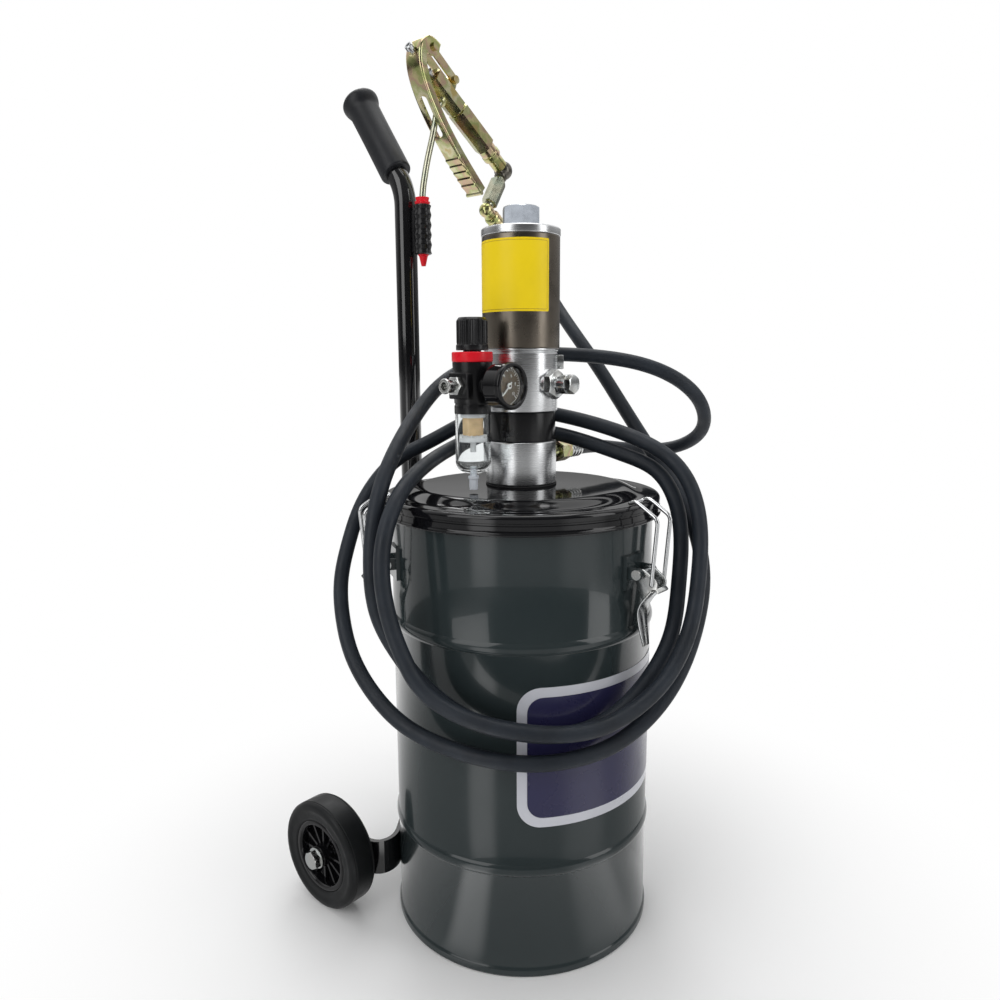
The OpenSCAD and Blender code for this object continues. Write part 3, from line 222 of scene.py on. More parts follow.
def add(name, shape, look, body=STAND, nodes=(), bevel=0.0, steps=2):
    """Makes a piece from a shape, gives it its look and body, and hides the nodes that it stands for."""
    mesh = bpy.data.meshes.new(name)
    mesh.from_pydata([tuple(c * MM for c in p) for p in shape[0]], [], shape[1])
    bm = bmesh.new()
    bm.from_mesh(mesh)
    bmesh.ops.remove_doubles(bm, verts=bm.verts, dist=1e-6)
    bmesh.ops.dissolve_degenerate(bm, edges=bm.edges, dist=1e-7)
    bmesh.ops.recalc_face_normals(bm, faces=bm.faces)
    if bevel:
        edges = [e for e in bm.edges if len(e.link_faces) == 2 and e.calc_face_angle() > SHARP]
        bmesh.ops.bevel(bm, geom=edges, offset=bevel * MM, segments=steps, affect="EDGES", profile=0.5,
                        clamp_overlap=True)
    bm.to_mesh(mesh)
    bm.free()
    mesh.polygons.foreach_set("use_smooth", [True] * len(mesh.polygons))
    mesh.set_sharp_from_angle(angle=SHARP)
    piece = bpy.data.objects.new(name, mesh)
    scene.collection.objects.link(piece)
    mesh.materials.append(M[look])
    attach(piece, body)
    if nodes:
        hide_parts(*nodes)
    return piece


def arc(cx, cz, r, start, stop, n):
    return [(cx + r * math.cos(math.radians(start + (stop - start) * k / n)),
             cz + r * math.sin(math.radians(start + (stop - start) * k / n))) for k in range(n + 1)]


def corner(before, here, after, r, n):
    """Points of the round that replaces a corner."""
    a, b = before - here, after - here
    cut = min(r, a.length * 0.48, b.length * 0.48)
    start, end = here + a.normalized() * cut, here + b.normalized() * cut
    return [start * (1 - t) ** 2 + here * (2 * t * (1 - t)) + end * (t * t)
            for t in (k / n for k in range(n + 1))]


def soft(points, r, closed=False, n=4):
    """Rounds the corners of an outline; a point with a third number has its own radius."""
    count = len(points)
    out = []
    for i, p in enumerate(points):
        own = p[2] if len(p) > 2 else r
        here = Vector(p[:2])
        if own <= 0 or (not closed and i in (0, count - 1)):
            out.append(tuple(here))
            continue
        before, after = Vector(points[i - 1][:2]), Vector(points[(i + 1) % count][:2])
        if (before - here).length < 1e-6 or (after - here).length < 1e-6:
            out.append(tuple(here))
        else:
            out += [tuple(q) for q in corner(before, here, after, own, n)]
    return out


def lathe(profile, segs=96, radius=None, closed=False):
    """Turns (r, z) points about Z. radius(r, z, angle) may change r on the way round."""
    count = len(profile)
    points = []
    for s in range(segs):
        a = 2 * math.pi * s / segs
        for r, z in profile:
            q = radius(r, z, a) if radius else r
            points.append((q * math.cos(a), q * math.sin(a), z))
    faces = []
    for s in range(segs):
        nxt = (s + 1) % segs
        for i in range(count if closed else count - 1):
            j = (i + 1) % count
            faces.append([s * count + i, nxt * count + i, nxt * count + j, s * count + j])
    return points, faces


def hex_r(flat_r, a):
    """Radius of a hexagon at an angle, from the radius of its flats."""
    return flat_r / math.cos((a + math.pi / 6) % (math.pi / 3) - math.pi / 6)


def hexagon(af, h, top=True, bottom=False):
    """Hexagon with the round chamfer of a turned nut at its top, its bottom or both."""
    segs = 72
    flat_r = af / 2
    face_r = flat_r * 0.97
    points, faces = [], []
    for s in range(segs):
        a = 2 * math.pi * s / segs
        q = hex_r(flat_r, a)
        drop = (q - face_r) * 0.6
        profile = [(0.0, 0.0), (face_r if bottom else q, 0.0), (q, drop if bottom else 0.0),
                   (q, h - drop if top else h), (face_r if top else q, h), (0.0, h)]
        points += [(r * math.cos(a), r * math.sin(a), z) for r, z in profile]
    for s in range(segs):
        nxt = (s + 1) % segs
        faces += [[s * 6 + i, nxt * 6 + i, nxt * 6 + i + 1, s * 6 + i + 1] for i in range(5)]
    return points, faces


def prism(outline, low, high):
    """Outline in (x, z), given thickness along y from low to high."""
    n = len(outline)
    points = [(p[0], low, p[1]) for p in outline] + [(p[0], high, p[1]) for p in outline]
    faces = [list(range(n)), list(range(2 * n - 1, n - 1, -1))]
    faces += [[i, (i + 1) % n, n + (i + 1) % n, n + i] for i in range(n)]
    return points, faces


def block(low, high):
    outline = [(low[0], low[2]), (high[0], low[2]), (high[0], high[2]), (low[0], high[2])]
    return prism(outline, low[1], high[1])


def sweep(path, r, sides):
    """Round rod along a path, its sides carried along without twist."""
    path = [Vector(p) for p in path]
    n = len(path)
    dirs = [(path[min(i + 1, n - 1)] - path[max(i - 1, 0)]).normalized() for i in range(n)]
    side = dirs[0].orthogonal().normalized()
    points = []
    for i in range(n):
        side = (side - dirs[i] * side.dot(dirs[i])).normalized()
        other = dirs[i].cross(side)
        for k in range(sides):
            a = 2 * math.pi * k / sides
            points.append(path[i] + side * (r * math.cos(a)) + other * (r * math.sin(a)))
    faces = []
    for i in range(n - 1):
        for k in range(sides):
            j = (k + 1) % sides
            faces.append([i * sides + k, i * sides + j, (i + 1) * sides + j, (i + 1) * sides + k])
    faces += [list(range(sides)), list(range(n * sides - 1, (n - 1) * sides - 1, -1))]
    return points, faces


def rounded_path(points, r):
    """Path with its corners rounded."""
    points = [Vector(p) for p in points]
    out = [points[0]]
    for before, here, after in zip(points, points[1:], points[2:]):
        out += corner(before, here, after, r, 8)
    return out + [points[-1]]


def bspline(points, n):
    """Uniform cubic B-spline that starts at the first point and ends at the last."""
    p = [Vector(q) for q in points]
    q = [2 * p[0] - p[1], *p, 2 * p[-1] - p[-2]]
    spans = len(p) - 1
    out = []
    for k in range(n + 1):
        s = k * spans / n
        i = min(int(s), spans - 1)
        t = s - i
        out.append(((1 - t) ** 3 * q[i] + (3 * t ** 3 - 6 * t * t + 4) * q[i + 1]
                    + (-3 * t ** 3 + 3 * t * t + 3 * t + 1) * q[i + 2] + t ** 3 * q[i + 3]) / 6)
    return out


def channel(path, section, press=lambda x, y, n: (y, n)):
    """Sheet section of (y, n) points, pressed or not, carried along a path in x and z.

    n stands off the path.
    """
    count = len(section)
    points, faces = [], []
    for i, p in enumerate(path):
        a, b = Vector(path[max(i - 1, 0)]), Vector(path[min(i + 1, len(path) - 1)])
        t = (b - a).normalized()
        points += [(p[0] - n * t.y, y, p[1] + n * t.x) for y, n in (press(p[0], *q) for q in section)]
    for i in range(len(path) - 1):
        for k in range(count):
            j = (k + 1) % count
            faces.append([i * count + k, i * count + j, (i + 1) * count + j, (i + 1) * count + k])
    faces += [list(range(count)), list(range(len(points) - 1, len(points) - count - 1, -1))]
    return points, faces


def wrap(r, middle, width, z0, z1, round_r):
    """Rounded rectangle bent round the Z axis, facing outward; width is along the arc."""
    columns, rows = 48, 10
    points, faces = [], []
    for c in range(columns + 1):
        x = -width / 2 + width * (0.5 - 0.5 * math.cos(math.pi * c / columns))
        edge = max(0.0, round_r - (width / 2 - abs(x)))
        inset = round_r - math.sqrt(max(0.0, round_r * round_r - edge * edge))
        a = math.radians(middle) + x / r
        for k in range(rows + 1):
            z = z0 + inset + (z1 - z0 - 2 * inset) * k / rows
            points.append((r * math.cos(a), r * math.sin(a), z))
    w = rows + 1
    for c in range(columns):
        for k in range(rows):
            faces.append([c * w + k, (c + 1) * w + k, (c + 1) * w + k + 1, c * w + k + 1])
    return points, faces


def figure(text, size):
    """Flat figures, centred, facing +Z."""
    curve = bpy.data.curves.new("figure", "FONT")
    curve.body = text
    curve.size = size
    curve.align_x, curve.align_y = "CENTER", "CENTER"
    holder = bpy.data.objects.new("figure", curve)
    mesh = holder.to_mesh()
    shape = [tuple(v.co) for v in mesh.vertices], [list(f.vertices) for f in mesh.polygons]
    holder.to_mesh_clear()
    bpy.data.objects.remove(holder)
    bpy.data.curves.remove(curve)
    return shape


# Gun frame: u down the body, w off its back
GUN_TILT = 32.6
GUN_Y = 144
GUN = at(19, GUN_Y, 941) @ turn(GUN_TILT, "Y")


def gun_point(u, w):
    return GUN @ Vector((u, 0, w))


# Hose
OUTLET_Z = 520.0
HOSE_ROUTE = [
    (107, 0, 520), (150, 0, 520), (207, -8, 510), (243, -55, 508), (232, -108, 535),
    (182, -122, 582), (145, -92, 612), (115, -50, 625), (80, 0, 630), (45, 45, 630),
    (10, 75, 620), (-30, 90, 600), (-75, 82, 570), (-123, 62, 540), (-160, 49, 505), (-178, 43, 465),
    (-185, 40, 425), (-190, 30, 380), (-175, 15, 340), (-160, -5, 305), (-150, -55, 280),
    (-120, -100, 270), (-80, -135, 265), (-35, -155, 280), (10, -165, 310), (40, -170, 345),
    (65, -160, 390), (80, -155, 435), (85, -145, 475), (85, -122, 508), (75, -85, 520),
    (70, -40, 532), (60, 5, 543), (40, 45, 543), (5, 74, 536), (-45, 77, 522), (-103, 52, 512),
    (-154, 27, 500), (-181, 23, 465), (-195, 15, 425), (-195, 5, 380), (-185, -5, 340),
    (-180, -22, 310), (-165, -70, 290), (-130, -120, 280), (-85, -155, 275), (-35, -175, 290),
    (5, -187, 315), (40, -190, 355), (60, -185, 400), (78, -178, 445), (85, -165, 487),
    (85, -140, 520), (80, -95, 540), (75, -45, 553), (65, 5, 563), (45, 50, 568), (10, 85, 557),
    (-30, 110, 530), (-70, 130, 515), (-105, 145, 470), (-125, 145, 425), (-140, 145, 385),
    (-150, 130, 345), (-160, 105, 310), (-165, 65, 280), (-165, 20, 258), (-155, -25, 248),
    (-140, -75, 243), (-110, -115, 240), (-65, -145, 243), (-25, -160, 253), (15, -175, 280),
    (50, -180, 315), (75, -180, 355), (95, -175, 395), (115, -155, 435), (130, -125, 475),
    (135, -95, 505), (140, -60, 545), (145, -30, 580), (150, 0, 615), (152, 32, 650),
    (168, 78, 692), (187, 120, 735), gun_point(224, -62), gun_point(184, -62),
]
hose_line = bspline(HOSE_ROUTE, 700)
hose = add("hose_tube", sweep(hose_line, 8.0, 20), "hose_rubber", nodes=("hose",))

# Drum
DRUM_R, BEAD_OUT, BEAD_H = 142.5, 2.4, 13.0


def bead(z):
    return [(DRUM_R + BEAD_OUT * math.cos(math.radians(a)) ** 2, z + BEAD_H / 2 * math.sin(math.radians(a)))
            for a in range(-90, 91, 10)]


wall = ([(0, 7.8), (135, 7.8), (138, 6), (139.6, 1.2), (140.6, 0.2), (142, 0), (143.6, 0.3), (144.5, 1.4),
         (144.5, 6.8), (143.9, 8.4), (142.9, 9.4), (142.5, 11)] + bead(118) + bead(350) + [(DRUM_R, 466.2)]
        + arc(144.25, 470.5, 3.5, -118, 190, 20) + [(141.3, 464), (141.3, 9), (0, 9)])
add("drum_shell", lathe(wall, 160), "drum_paint", nodes=("drum",))
add("drum_seam", place(block((142.0, -1.6, 12), (142.9, 1.6, 466)), turn(97, "Z")), "drum_paint", bevel=0.3)
add("panel_border", wrap(142.68, -90, 266, 166, 312, 24), "silver_print")
add("panel_field", wrap(142.86, -90, 246, 176, 302, 16), "navy_print")

# Lid, from its hole out over the skirt and back under
LID_Z = 489.7
slope = [(108 + 26 * k / 12, 481.7 + 8 * (1 + math.cos(math.pi * k / 12)) / 2) for k in range(13)]
skirt = [(150, 474), (149.2, 473.4), (149.2, 471.8), (150, 471.2), (150, 466)]
top_skin = [(13.5, LID_Z)] + slope + [(140, 481.7)] + arc(146, 477.7, 4, 90, 0, 6) + skirt
hem = arc(149.4, 463.2, 1.8, 60, -240, 14)
under = ([(148.8, 466)] + arc(146, 477.7, 2.8, 0, 90, 5) + [(140, 480.5)]
         + [(r, z - 1.2) for r, z in slope[::-1]])
add("lid_shell", lathe(top_skin + hem + under + [(13.5, 488.5)], 160, closed=True), "lid_paint",
    nodes=("lid",))

# Latches about their pins
LATCH_PIN = (155.5, 0, 415)
for name, angle in (("front", -90), ("right", 30), ("left", 150)):
    here = turn(angle, "Z") @ at(*LATCH_PIN)
    cheek = soft([(-5.5, 2.5, 4), (-3, 5.6, 4), (5, 5.6, 4), (20, -5, 4), (19.5, -13.5, 3), (13, -17.5, 2),
                  (5, -27, 1), (1.5, -22, 6), (-5.8, -4, 5)], 2, closed=True, n=5)
    tail = [tuple(p)[:2] for p in bspline([(14, -15, 0), (6, -25, 0), (-2, -36, 0), (-1, -52, 0),
                                           (4, -75, 0)], 40)]
    sheet = channel(tail, [(-1, -1), (1, -1), (1, 1), (-1, 1)])
    widths = [11 - 5.5 * max(0.0, (k - 14) / 26) ** 1.5 for k in range(41)]
    sheet = [(x, y * widths[i // 4], z) for i, (x, y, z) in enumerate(sheet[0])], sheet[1]
    lever = merge(prism(cheek, 8, 10), prism(cheek, -10, -8), sheet,
                  prism([(12, -14), (19, -12), (22, -15), (21, -17), (18, -14.5), (13, -17)], -10, 10))
    add("latch_lever_plate_" + name, place(lever, here), "zinc", body="latch_lever_" + name,
        nodes=("latch_lever_" + name,), bevel=0.45)
    loop = [(15, 8, -9), (15, 12.5, -9), (20.5, 12.5, 56.7), (-4, 12.5, 72.2), (-12, 12.5, 69)]
    loop += [(x, -y, z) for x, y, z in loop[::-1]]
    add("latch_wire_" + name, place(sweep(rounded_path(loop, 5.5), 2.0, 14), here), "wire",
        body="latch_bail_" + name, nodes=("latch_bail_" + name,))

# Pump stack
PORT_Z, PLUG_Z = 598, 760.2
base = soft([(0, LID_Z), (36, LID_Z), (36, 491.7), (38, 492.5), (38, 536.7, 1.2), (36.8, 537.7),
             (0, 537.7)], 0.8)
outlet_boss = lathe(soft([(0, 30), (14, 30), (14, 40), (0, 40)], 1.0), 64)
add("pump_base_turned", merge(lathe(base), place(outlet_boss, at(0, 0, OUTLET_Z) @ TO_X)), "aluminium",
    nodes=("pump_base",))
gasket = soft([(35, LID_Z), (38.6, LID_Z), (38.6, 491.6), (35, 491.6)], 0.5, closed=True)
add("pump_base_gasket", lathe(gasket, 96, closed=True), "rubber")
spacer = soft([(12, 537.7), (36.2, 537.7), (37, 538.5), (37, 568), (36.2, 568.7), (12, 568.7)], 0.6)
add("pump_spacer_ring", lathe(spacer), "black_plastic", nodes=("pump_spacer",))
valve = soft([(0, 568.7), (38, 568.7), (39, 569.7), (39, 629.7), (38, 630.7), (38, 631.7), (40, 632.7),
              (40, 634.7), (0, 634.7)], 0.5)
bosses = [place(lathe(soft([(0, 30), (14, 30), (14, 41), (9, 41)], 0.8), 64), at(0, 0, PORT_Z) @ m)
          for m in (TO_MINUS_X, TO_MINUS_Y)]
add("valve_body_turned", merge(lathe(valve), *bosses), "aluminium", nodes=("air_valve_body",))
add("valve_exhaust_boss", place(block((34, -4.5, 613), (45.5, 4.5, 628)), turn(-50, "Z")), "zinc", bevel=1.2)
barrel = soft([(36, 634.7), (40.4, 634.7), (41, 635.4), (41, 748), (40.4, 748.7), (36, 748.7)], 0.4)
add("cylinder_barrel", lathe(barrel, 128), "anodised", nodes=("air_cylinder",))
cap = soft([(36, 743.7), (36, 748.7), (41.5, 748.7), (41.5, 756), (40, 757.2), (0, 757.2)], 0.8)
add("cylinder_cap_disc", lathe(cap, 128), "aluminium", nodes=("cylinder_cap",))
flange = soft([(0, 757.2), (23, 757.2), (22.4, 759), (20.5, PLUG_Z), (0, PLUG_Z)], 0.6)
add("cap_plug_hex", place(hexagon(36, 19), at(0, 0, PLUG_Z) @ turn(15, "Z")), "plug_steel",
    nodes=("cap_plug",))
add("cap_plug_washer", lathe(flange, 72), "dark_zinc")
add("notice_field", wrap(41.10, -169, 102, 671.5, 743.5, 1.5), "yellow_print")
add("notice_line", wrap(41.16, -169, 98, 673.5, 741.5, 1.0), "amber_print")
add("notice_middle", wrap(41.22, -169, 96.8, 674.1, 740.9, 1.0), "yellow_print")

# Filter regulator
REG = at(-78, 0, 0)
body_profile = soft([(0, 570), (18.5, 570), (18.5, 578), (17.7, 578.6), (17.7, 580), (18.5, 580.6),
                     (18.5, 582), (20, 621), (14, 621), (14, 631), (9, 631), (9, 646.5), (0, 646.5)], 0.5)
gauge_port = lathe(soft([(0, 10), (9.5, 10), (9.5, 20.5), (0, 20.5)], 0.6), 48)
reg = merge(lathe(body_profile, 72), place(gauge_port, at(0, 0, PORT_Z) @ TO_MINUS_Y))
add("regulator_housing", place(reg, REG), "black_plastic", nodes=("regulator_body",))
ports = merge(*[block((x0, -13, 585), (x1, 13, 611)) for x0, x1 in ((-21.5, -12), (12, 19.5))],
              block((-12, -9, 589), (12, 9, 607)))
add("regulator_ports", place(ports, REG), "black_plastic", bevel=1.6, steps=3)
lock_ring = soft([(14, 621), (19.7, 621), (20.5, 621.8), (20.5, 630.2), (19.7, 631), (14, 631)], 0.5)
add("regulator_lock_ring", place(lathe(lock_ring, 72), REG), "red_plastic", nodes=("regulator_ring",))


def ribs(r, z, a):
    return r - (0.55 - 0.55 * math.cos(20 * a)) if 638 < z < 661.5 and r > 12 else r


knob = soft([(9.1, 632.5), (16, 632.5), (16, 637.5), (15.2, 638.5), (15.6, 639.5), (15.6, 661),
             (14.6, 662.5), (13, 664.5), (5, 664.5), (0, 664.2)], 0.5)
add("regulator_knob_cap", place(lathe(knob, 200, ribs), REG), "black_plastic", body="knob",
    nodes=("regulator_knob",))
bowl_out = [(0, 510), (8, 510)] + arc(6, 522, 12, -70, 0, 8) + [(18, 570)]
bowl_in = [(16, 570)] + arc(6, 524, 10, 0, -70, 8) + [(3.6, 514), (3.6, 510)]
add("filter_bowl_clear", place(lathe(bowl_out[1:] + bowl_in, 72, closed=True), REG), "clear_plastic",
    nodes=("filter_bowl",))
add("filter_insert", place(lathe(soft([(0, 548), (10.4, 548), (10.4, 566), (0, 566)], 0.6), 64), REG),
    "filter_media", nodes=("filter_element",))
vanes = [place(block((9, -0.7, 546), (14, 0.7, 548.6)), turn(24 * k, "Z")) for k in range(15)]
deflector = soft([(0, 531), (3, 531), (3, 540.5), (13.5, 541.5), (14.3, 542.5), (14.3, 546), (12, 548),
                  (0, 548)], 0.4)
cage = soft([(0, 566), (12.5, 566), (12.5, 570), (0, 570)], 0.4)
add("filter_deflector", place(merge(lathe(deflector, 64), lathe(cage, 64), *vanes), REG), "white_plastic")
drain = soft([(0, 492.7), (4.5, 492.7), (4.5, 503.7), (5.5, 503.7), (5.5, 506.7), (3.5, 506.7), (3.5, 514.7),
              (0, 514.7)], 0.4)
add("drain_button", place(lathe(drain, 48), REG), "drain_plastic", body="drain", nodes=("drain_valve",))
GAUGE = REG @ at(0, 0, PORT_Z) @ TO_MINUS_Y
case = soft([(0, 29.5), (19, 29.5), (21.5, 32), (21.5, 46.5), (23, 47.5), (23, 52, 1.2), (21.5, 53.5, 1.2),
             (19.5, 53.5, 1), (18, 51.5, 0.6), (18, 44.5), (0, 44.5)], 0.6)
stem = soft([(0, 12.5), (5, 12.5), (5, 20.5), (7, 20.5), (7, 29.5)], 0.3)
add("gauge_housing", place(merge(lathe(case, 96), lathe(stem, 48)), GAUGE), "gloss_black",
    nodes=("gauge_case",))
dial = [(0, 48.5), (1, 48.5), (1, 45.5), (18, 45.5), (18, 44.5), (0, 44.5)]
add("gauge_face_disc", place(lathe(dial, 72), GAUGE), "gauge_face", nodes=("gauge_dial",))
glass = [(0, 50.3), (18, 50.3), (18, 51.3)]
glass += [(18 * math.cos(math.radians(a)), 51.3 + 1.6 * math.sin(math.radians(a))) for a in range(10, 91, 10)]
add("gauge_glass", place(lathe(glass, 72), GAUGE), "clear_plastic", nodes=("gauge_lens",))
ticks = []
for k in range(31):
    long = k % 5 == 0
    ticks.append(place(block((13.2 if long else 14.6, -0.4 if long else -0.2, 45.5),
                             (16.8, 0.4 if long else 0.2, 45.6)), turn(225 - 9 * k, "Z")))
for k in range(6):
    a = math.radians(225 - 54 * k)
    ticks.append(place(figure(str(2 * k), 4.4), at(10.6 * math.cos(a), 10.6 * math.sin(a), 45.55)))
ticks.append(lathe([(17.2, 45.5), (17.2, 45.6), (16.8, 45.6), (16.8, 45.5)], 72, closed=True))
add("gauge_ticks", place(merge(*ticks), GAUGE), "white_paint")
needle = merge(lathe(soft([(0, 46.5), (3, 46.5), (3, 47.5), (0, 47.9)], 0.2), 40),
               place(block((-5, -0.6, 46.5), (14.5, 0.6, 47.3)), turn(225, "Z")))
add("gauge_pointer", place(needle, GAUGE), "white_paint", body="needle", nodes=("gauge_needle",))
plug_in = soft([(4, 7), (6.6, 7), (6.6, 17), (7.6, 18), (7.6, 19), (6.8, 20), (4, 20), (4, 0)], 0.3)
nipple = merge(hexagon(17, 7, True, True), lathe(plug_in, 48))
add("air_inlet_nipple", place(nipple, at(-99.5, 0, PORT_Z) @ TO_MINUS_X), "zinc", nodes=("inlet_nipple",))
add("air_link_hex", place(hexagon(22, 17.5, True, True), at(-41, 0, PORT_Z) @ TO_MINUS_X), "zinc",
    nodes=("air_nipple",))
side = merge(place(hexagon(27, 8), at(0, 0, 41)),
             lathe(soft([(0, 49), (8, 49), (8, 53), (10, 53), (10, 63), (0, 63)], 0.5), 56),
             place(hexagon(17.3, 7), at(0, 0, 63)))
add("side_port_fitting", place(side, at(0, 0, PORT_Z) @ TO_MINUS_Y), "zinc", nodes=("side_fitting",))

# Grease line
outlet = merge(place(hexagon(20, 9, True, True), at(0, 0, 40) @ turn(30, "Z")),
               lathe(soft([(0, 49), (8, 49), (8, 64), (0, 64)], 0.5), 48),
               place(hexagon(22, 19, True, True), at(0, 0, 64) @ turn(30, "Z")))
add("outlet_union", place(outlet, at(0, 0, OUTLET_Z) @ TO_X), "yellow_zinc", nodes=("outlet_fitting",))
crimps = [(10 - (0.8 if k % 2 == 0 else 0), 3 * k) for k in range(1, 8)]
ferrule = lathe(soft([(0, 0), (9, 0)] + crimps + [(9.4, 24), (7.9, 24)], 0.6), 56)
add("hose_sleeve_pump", place(ferrule, at(83, 0, OUTLET_Z) @ TO_X), "zinc", nodes=("hose_ferrule_pump",))
add("hose_sleeve_gun", place(ferrule, GUN @ at(160, 0, -62) @ TO_X), "yellow_zinc",
    nodes=("hose_ferrule_gun",))
swivel = merge(lathe(soft([(0, -58), (6, -58), (6, -11.5), (0, -11.5)], 0.3), 40),
               place(hexagon(18, 34.5, True, True), at(0, 0, -52)))
add("gun_swivel_joint", place(swivel, GUN @ at(150, 0, 0)), "pale_zinc", nodes=("gun_swivel",))
knuckle = merge(place(lathe(arc(0, 0, 9, -90, 90, 16), 40), at(0, 0, -62)),
                place(lathe(soft([(0, 0), (8, 0), (8, 10), (0, 10)], 0.5), 40), at(0, 0, -62) @ TO_X))
add("gun_swivel_knuckle", place(knuckle, GUN @ at(150, 0, 0)), "yellow_zinc")
gun = merge(place(hexagon(22, 48, False, True), TO_X @ turn(30, "Z")),
            place(lathe(soft([(0, 45), (10.4, 45), (10.4, 51), (0, 51)], 0.4), 64), TO_X),
            place(hexagon(23, 58, True, True), TO_X @ turn(30, "Z") @ at(0, 0, 50)),
            place(lathe(soft([(0, 106), (10.6, 106), (10.6, 118, 2), (11.4, 119), (11.4, 125), (9, 127),
                              (9, 150), (0, 150)], 0.6), 64), TO_X),
            place(lathe(soft([(0, -14), (6, -14), (6, -8), (0, -8)], 0.6), 40), at(25, 0, 0)))
lug = soft([(16.7, 9), (32.7, 9), (31.2, 18), (28, 24), (21.4, 24), (18.2, 18)], 2.5, closed=True)
add("gun_body_turned", place(gun, GUN), "yellow_zinc", nodes=("gun_body",))
add("gun_body_lug", place(prism(lug, -5.5, 5.5), GUN), "yellow_zinc", bevel=0.6)
elbow = merge(lathe(arc(0, 0, 11.5, -90, 90, 20), 56),
              lathe(soft([(0, -11.5), (8, -11.5), (8, -4)], 0.5), 40))
add("gun_elbow", place(elbow, GUN @ at(150, 0, 0)), "dark_zinc")

# Trigger lever: bent channel with a window for the spout, cheeks round the pivot and finger ribs
LEVER_END = (123, -60.2)
RIB_START, RIB_PITCH, RIB_COUNT, WINDOW_R = 71.5, 9, 5, 5.5
web = [tuple(p)[:2] for p in bspline([(-14, 29, 0), (-30, 27, 0), (-38, 12, 0), (-32, -6, 0), (-14, -23, 0),
                                      (24, -40, 0), (70, -52, 0), (*LEVER_END, 0)], 240)]
cut = [i for i, p in enumerate(web) if p[1] < -20 and 0 <= p[0] <= 46]


def finger_ribs(u, y, n):
    wave = (u - RIB_START) % RIB_PITCH / RIB_PITCH
    ribbed = n < 0.5 and 0 < u - RIB_START < RIB_COUNT * RIB_PITCH
    return y, n - 2.0 * (1 - wave) * min(1.0, wave * 6) if ribbed else n


def round_window(u, y, n):
    edge = max(0.0, WINDOW_R - 1.1 * min(u - web[cut[0]][0], web[cut[-1]][0] - u))
    return math.copysign(math.sqrt(max(0.0, WINDOW_R ** 2 - edge ** 2)), y) if abs(y) < 6 else y, n


full = soft([(-12, 9), (-12, -1, 3), (12, -1, 3), (12, 9), (10, 9), (10, 1, 1), (-10, 1, 1), (-10, 9)], 0,
            True, 5)
half = soft([(12, 9), (10, 9), (10, 1, 1), (WINDOW_R, 1), (WINDOW_R, -1), (12, -1, 3)], 0, True, 5)
parts = [channel(web[:cut[0] + 1], full), channel(web[cut[-1]:], full, finger_ribs),
         channel(web[cut[0]:cut[-1] + 1], half, round_window),
         channel(web[cut[0]:cut[-1] + 1], [(-y, n) for y, n in half], round_window)]
cheek = soft([(-15, 27, 3), (-32, 23, 2), (-36, 8, 3), (-24, 5, 4), (-14, 10, 5), (-11, 19, 5)], 2, True, 5)
parts += [prism(cheek, y - 0.95, y + 0.95) for y in (-11, 11)]
parts.append(sweep([(LEVER_END[0], y, LEVER_END[1]) for y in (-12, 12)], 2.5, 20))
parts.append(place(lathe(soft([(0, -33), (6, -33), (6, -27), (0, -27)], 0.5), 32), TO_X))
add("gun_trigger_lever", place(merge(*parts), GUN), "yellow_zinc", body="trigger", nodes=("gun_trigger",))


def socket_r(r, z, a):
    return hex_r(2.3, a) if z < -40 and 2 < r < 3 else r


screw = [(0, -40.6), (2.5, -40.6), (2.5, -43), (4.3, -43), (5, -42.3), (5, -38), (3, -38), (3, -23), (0, -23)]
add("adjusting_screw_socket", place(lathe(screw, 72, socket_r), GUN @ TO_X), "zinc", body="trigger",
    nodes=("adjusting_screw",))
SPOUT = [gun_point(25, -14), gun_point(25, -25), (20, GUN_Y, 880), (9, GUN_Y, 848), (0, GUN_Y, 812),
         (0, GUN_Y, 744)]
add("gun_spout_pipe", sweep(rounded_path(SPOUT, 14), 3.6, 20), "pale_zinc", nodes=("gun_spout",))
sleeve = soft([(0, 731), (2.5, 731), (5, 742), (6.5, 743.7), (6.5, 799), (8, 799), (9, 802), (7, 803),
               (8, 807), (4.1, 807), (4.1, 744), (0, 744)], 0.5)
add("spout_red_sleeve", place(lathe(sleeve, 56), at(0, GUN_Y, 0)), "red_plastic", nodes=("spout_sleeve",))
waves = [(10 - 1.2 * (1 - math.cos(2 * math.pi * k / 12)) / 2, 744 + 55 * k / 60) for k in range(1, 60)]
tube = [(6.5, 744), (8.5, 744)] + waves + [(9, 799), (6.5, 799)]
add("gun_holder_ribbed", place(lathe(tube, 64, closed=True), at(0, GUN_Y, 0)), "black_plastic",
    nodes=("gun_holder",))
add("gun_holder_web", block((-3, 152, 748), (3, 160.2, 795)), "black_plastic", bevel=0.8)

# Handle
LEAN, POST_R, POST_Y, BEND_R, BEND_Z = 34, 12.7, 172, 60, 800
bend = [math.radians(LEAN) * k / 12 for k in range(13)]
post = [(0, POST_Y, 150)] + [(0, POST_Y + BEND_R * (1 - math.cos(a)), BEND_Z + BEND_R * math.sin(a))
                             for a in bend]
end_y, end_z = post[-1][1:]
post.append((0, end_y + 110 * math.sin(bend[-1]), end_z + 110 * math.cos(bend[-1])))
add("handle_tube", sweep(post, POST_R, 40), "black_paint", nodes=("handle_post",))
grip = soft([(POST_R, 0), (17.5, 0), (18.5, 2), (18.2, 55, 20), (18.5, 94, 6), (21, 100, 4), (22, 104, 2),
             (22, 108, 2), (19, 112, 2), (8, 112.6), (0, 112.6)], 1.0, n=6)
GRIP = at(0, end_y, end_z) @ turn(-LEAN, "X") @ at(0, 0, 6)
add("handle_grip_sleeve", place(lathe(grip, 64), GRIP), "grip_rubber", nodes=("handle_grip",))

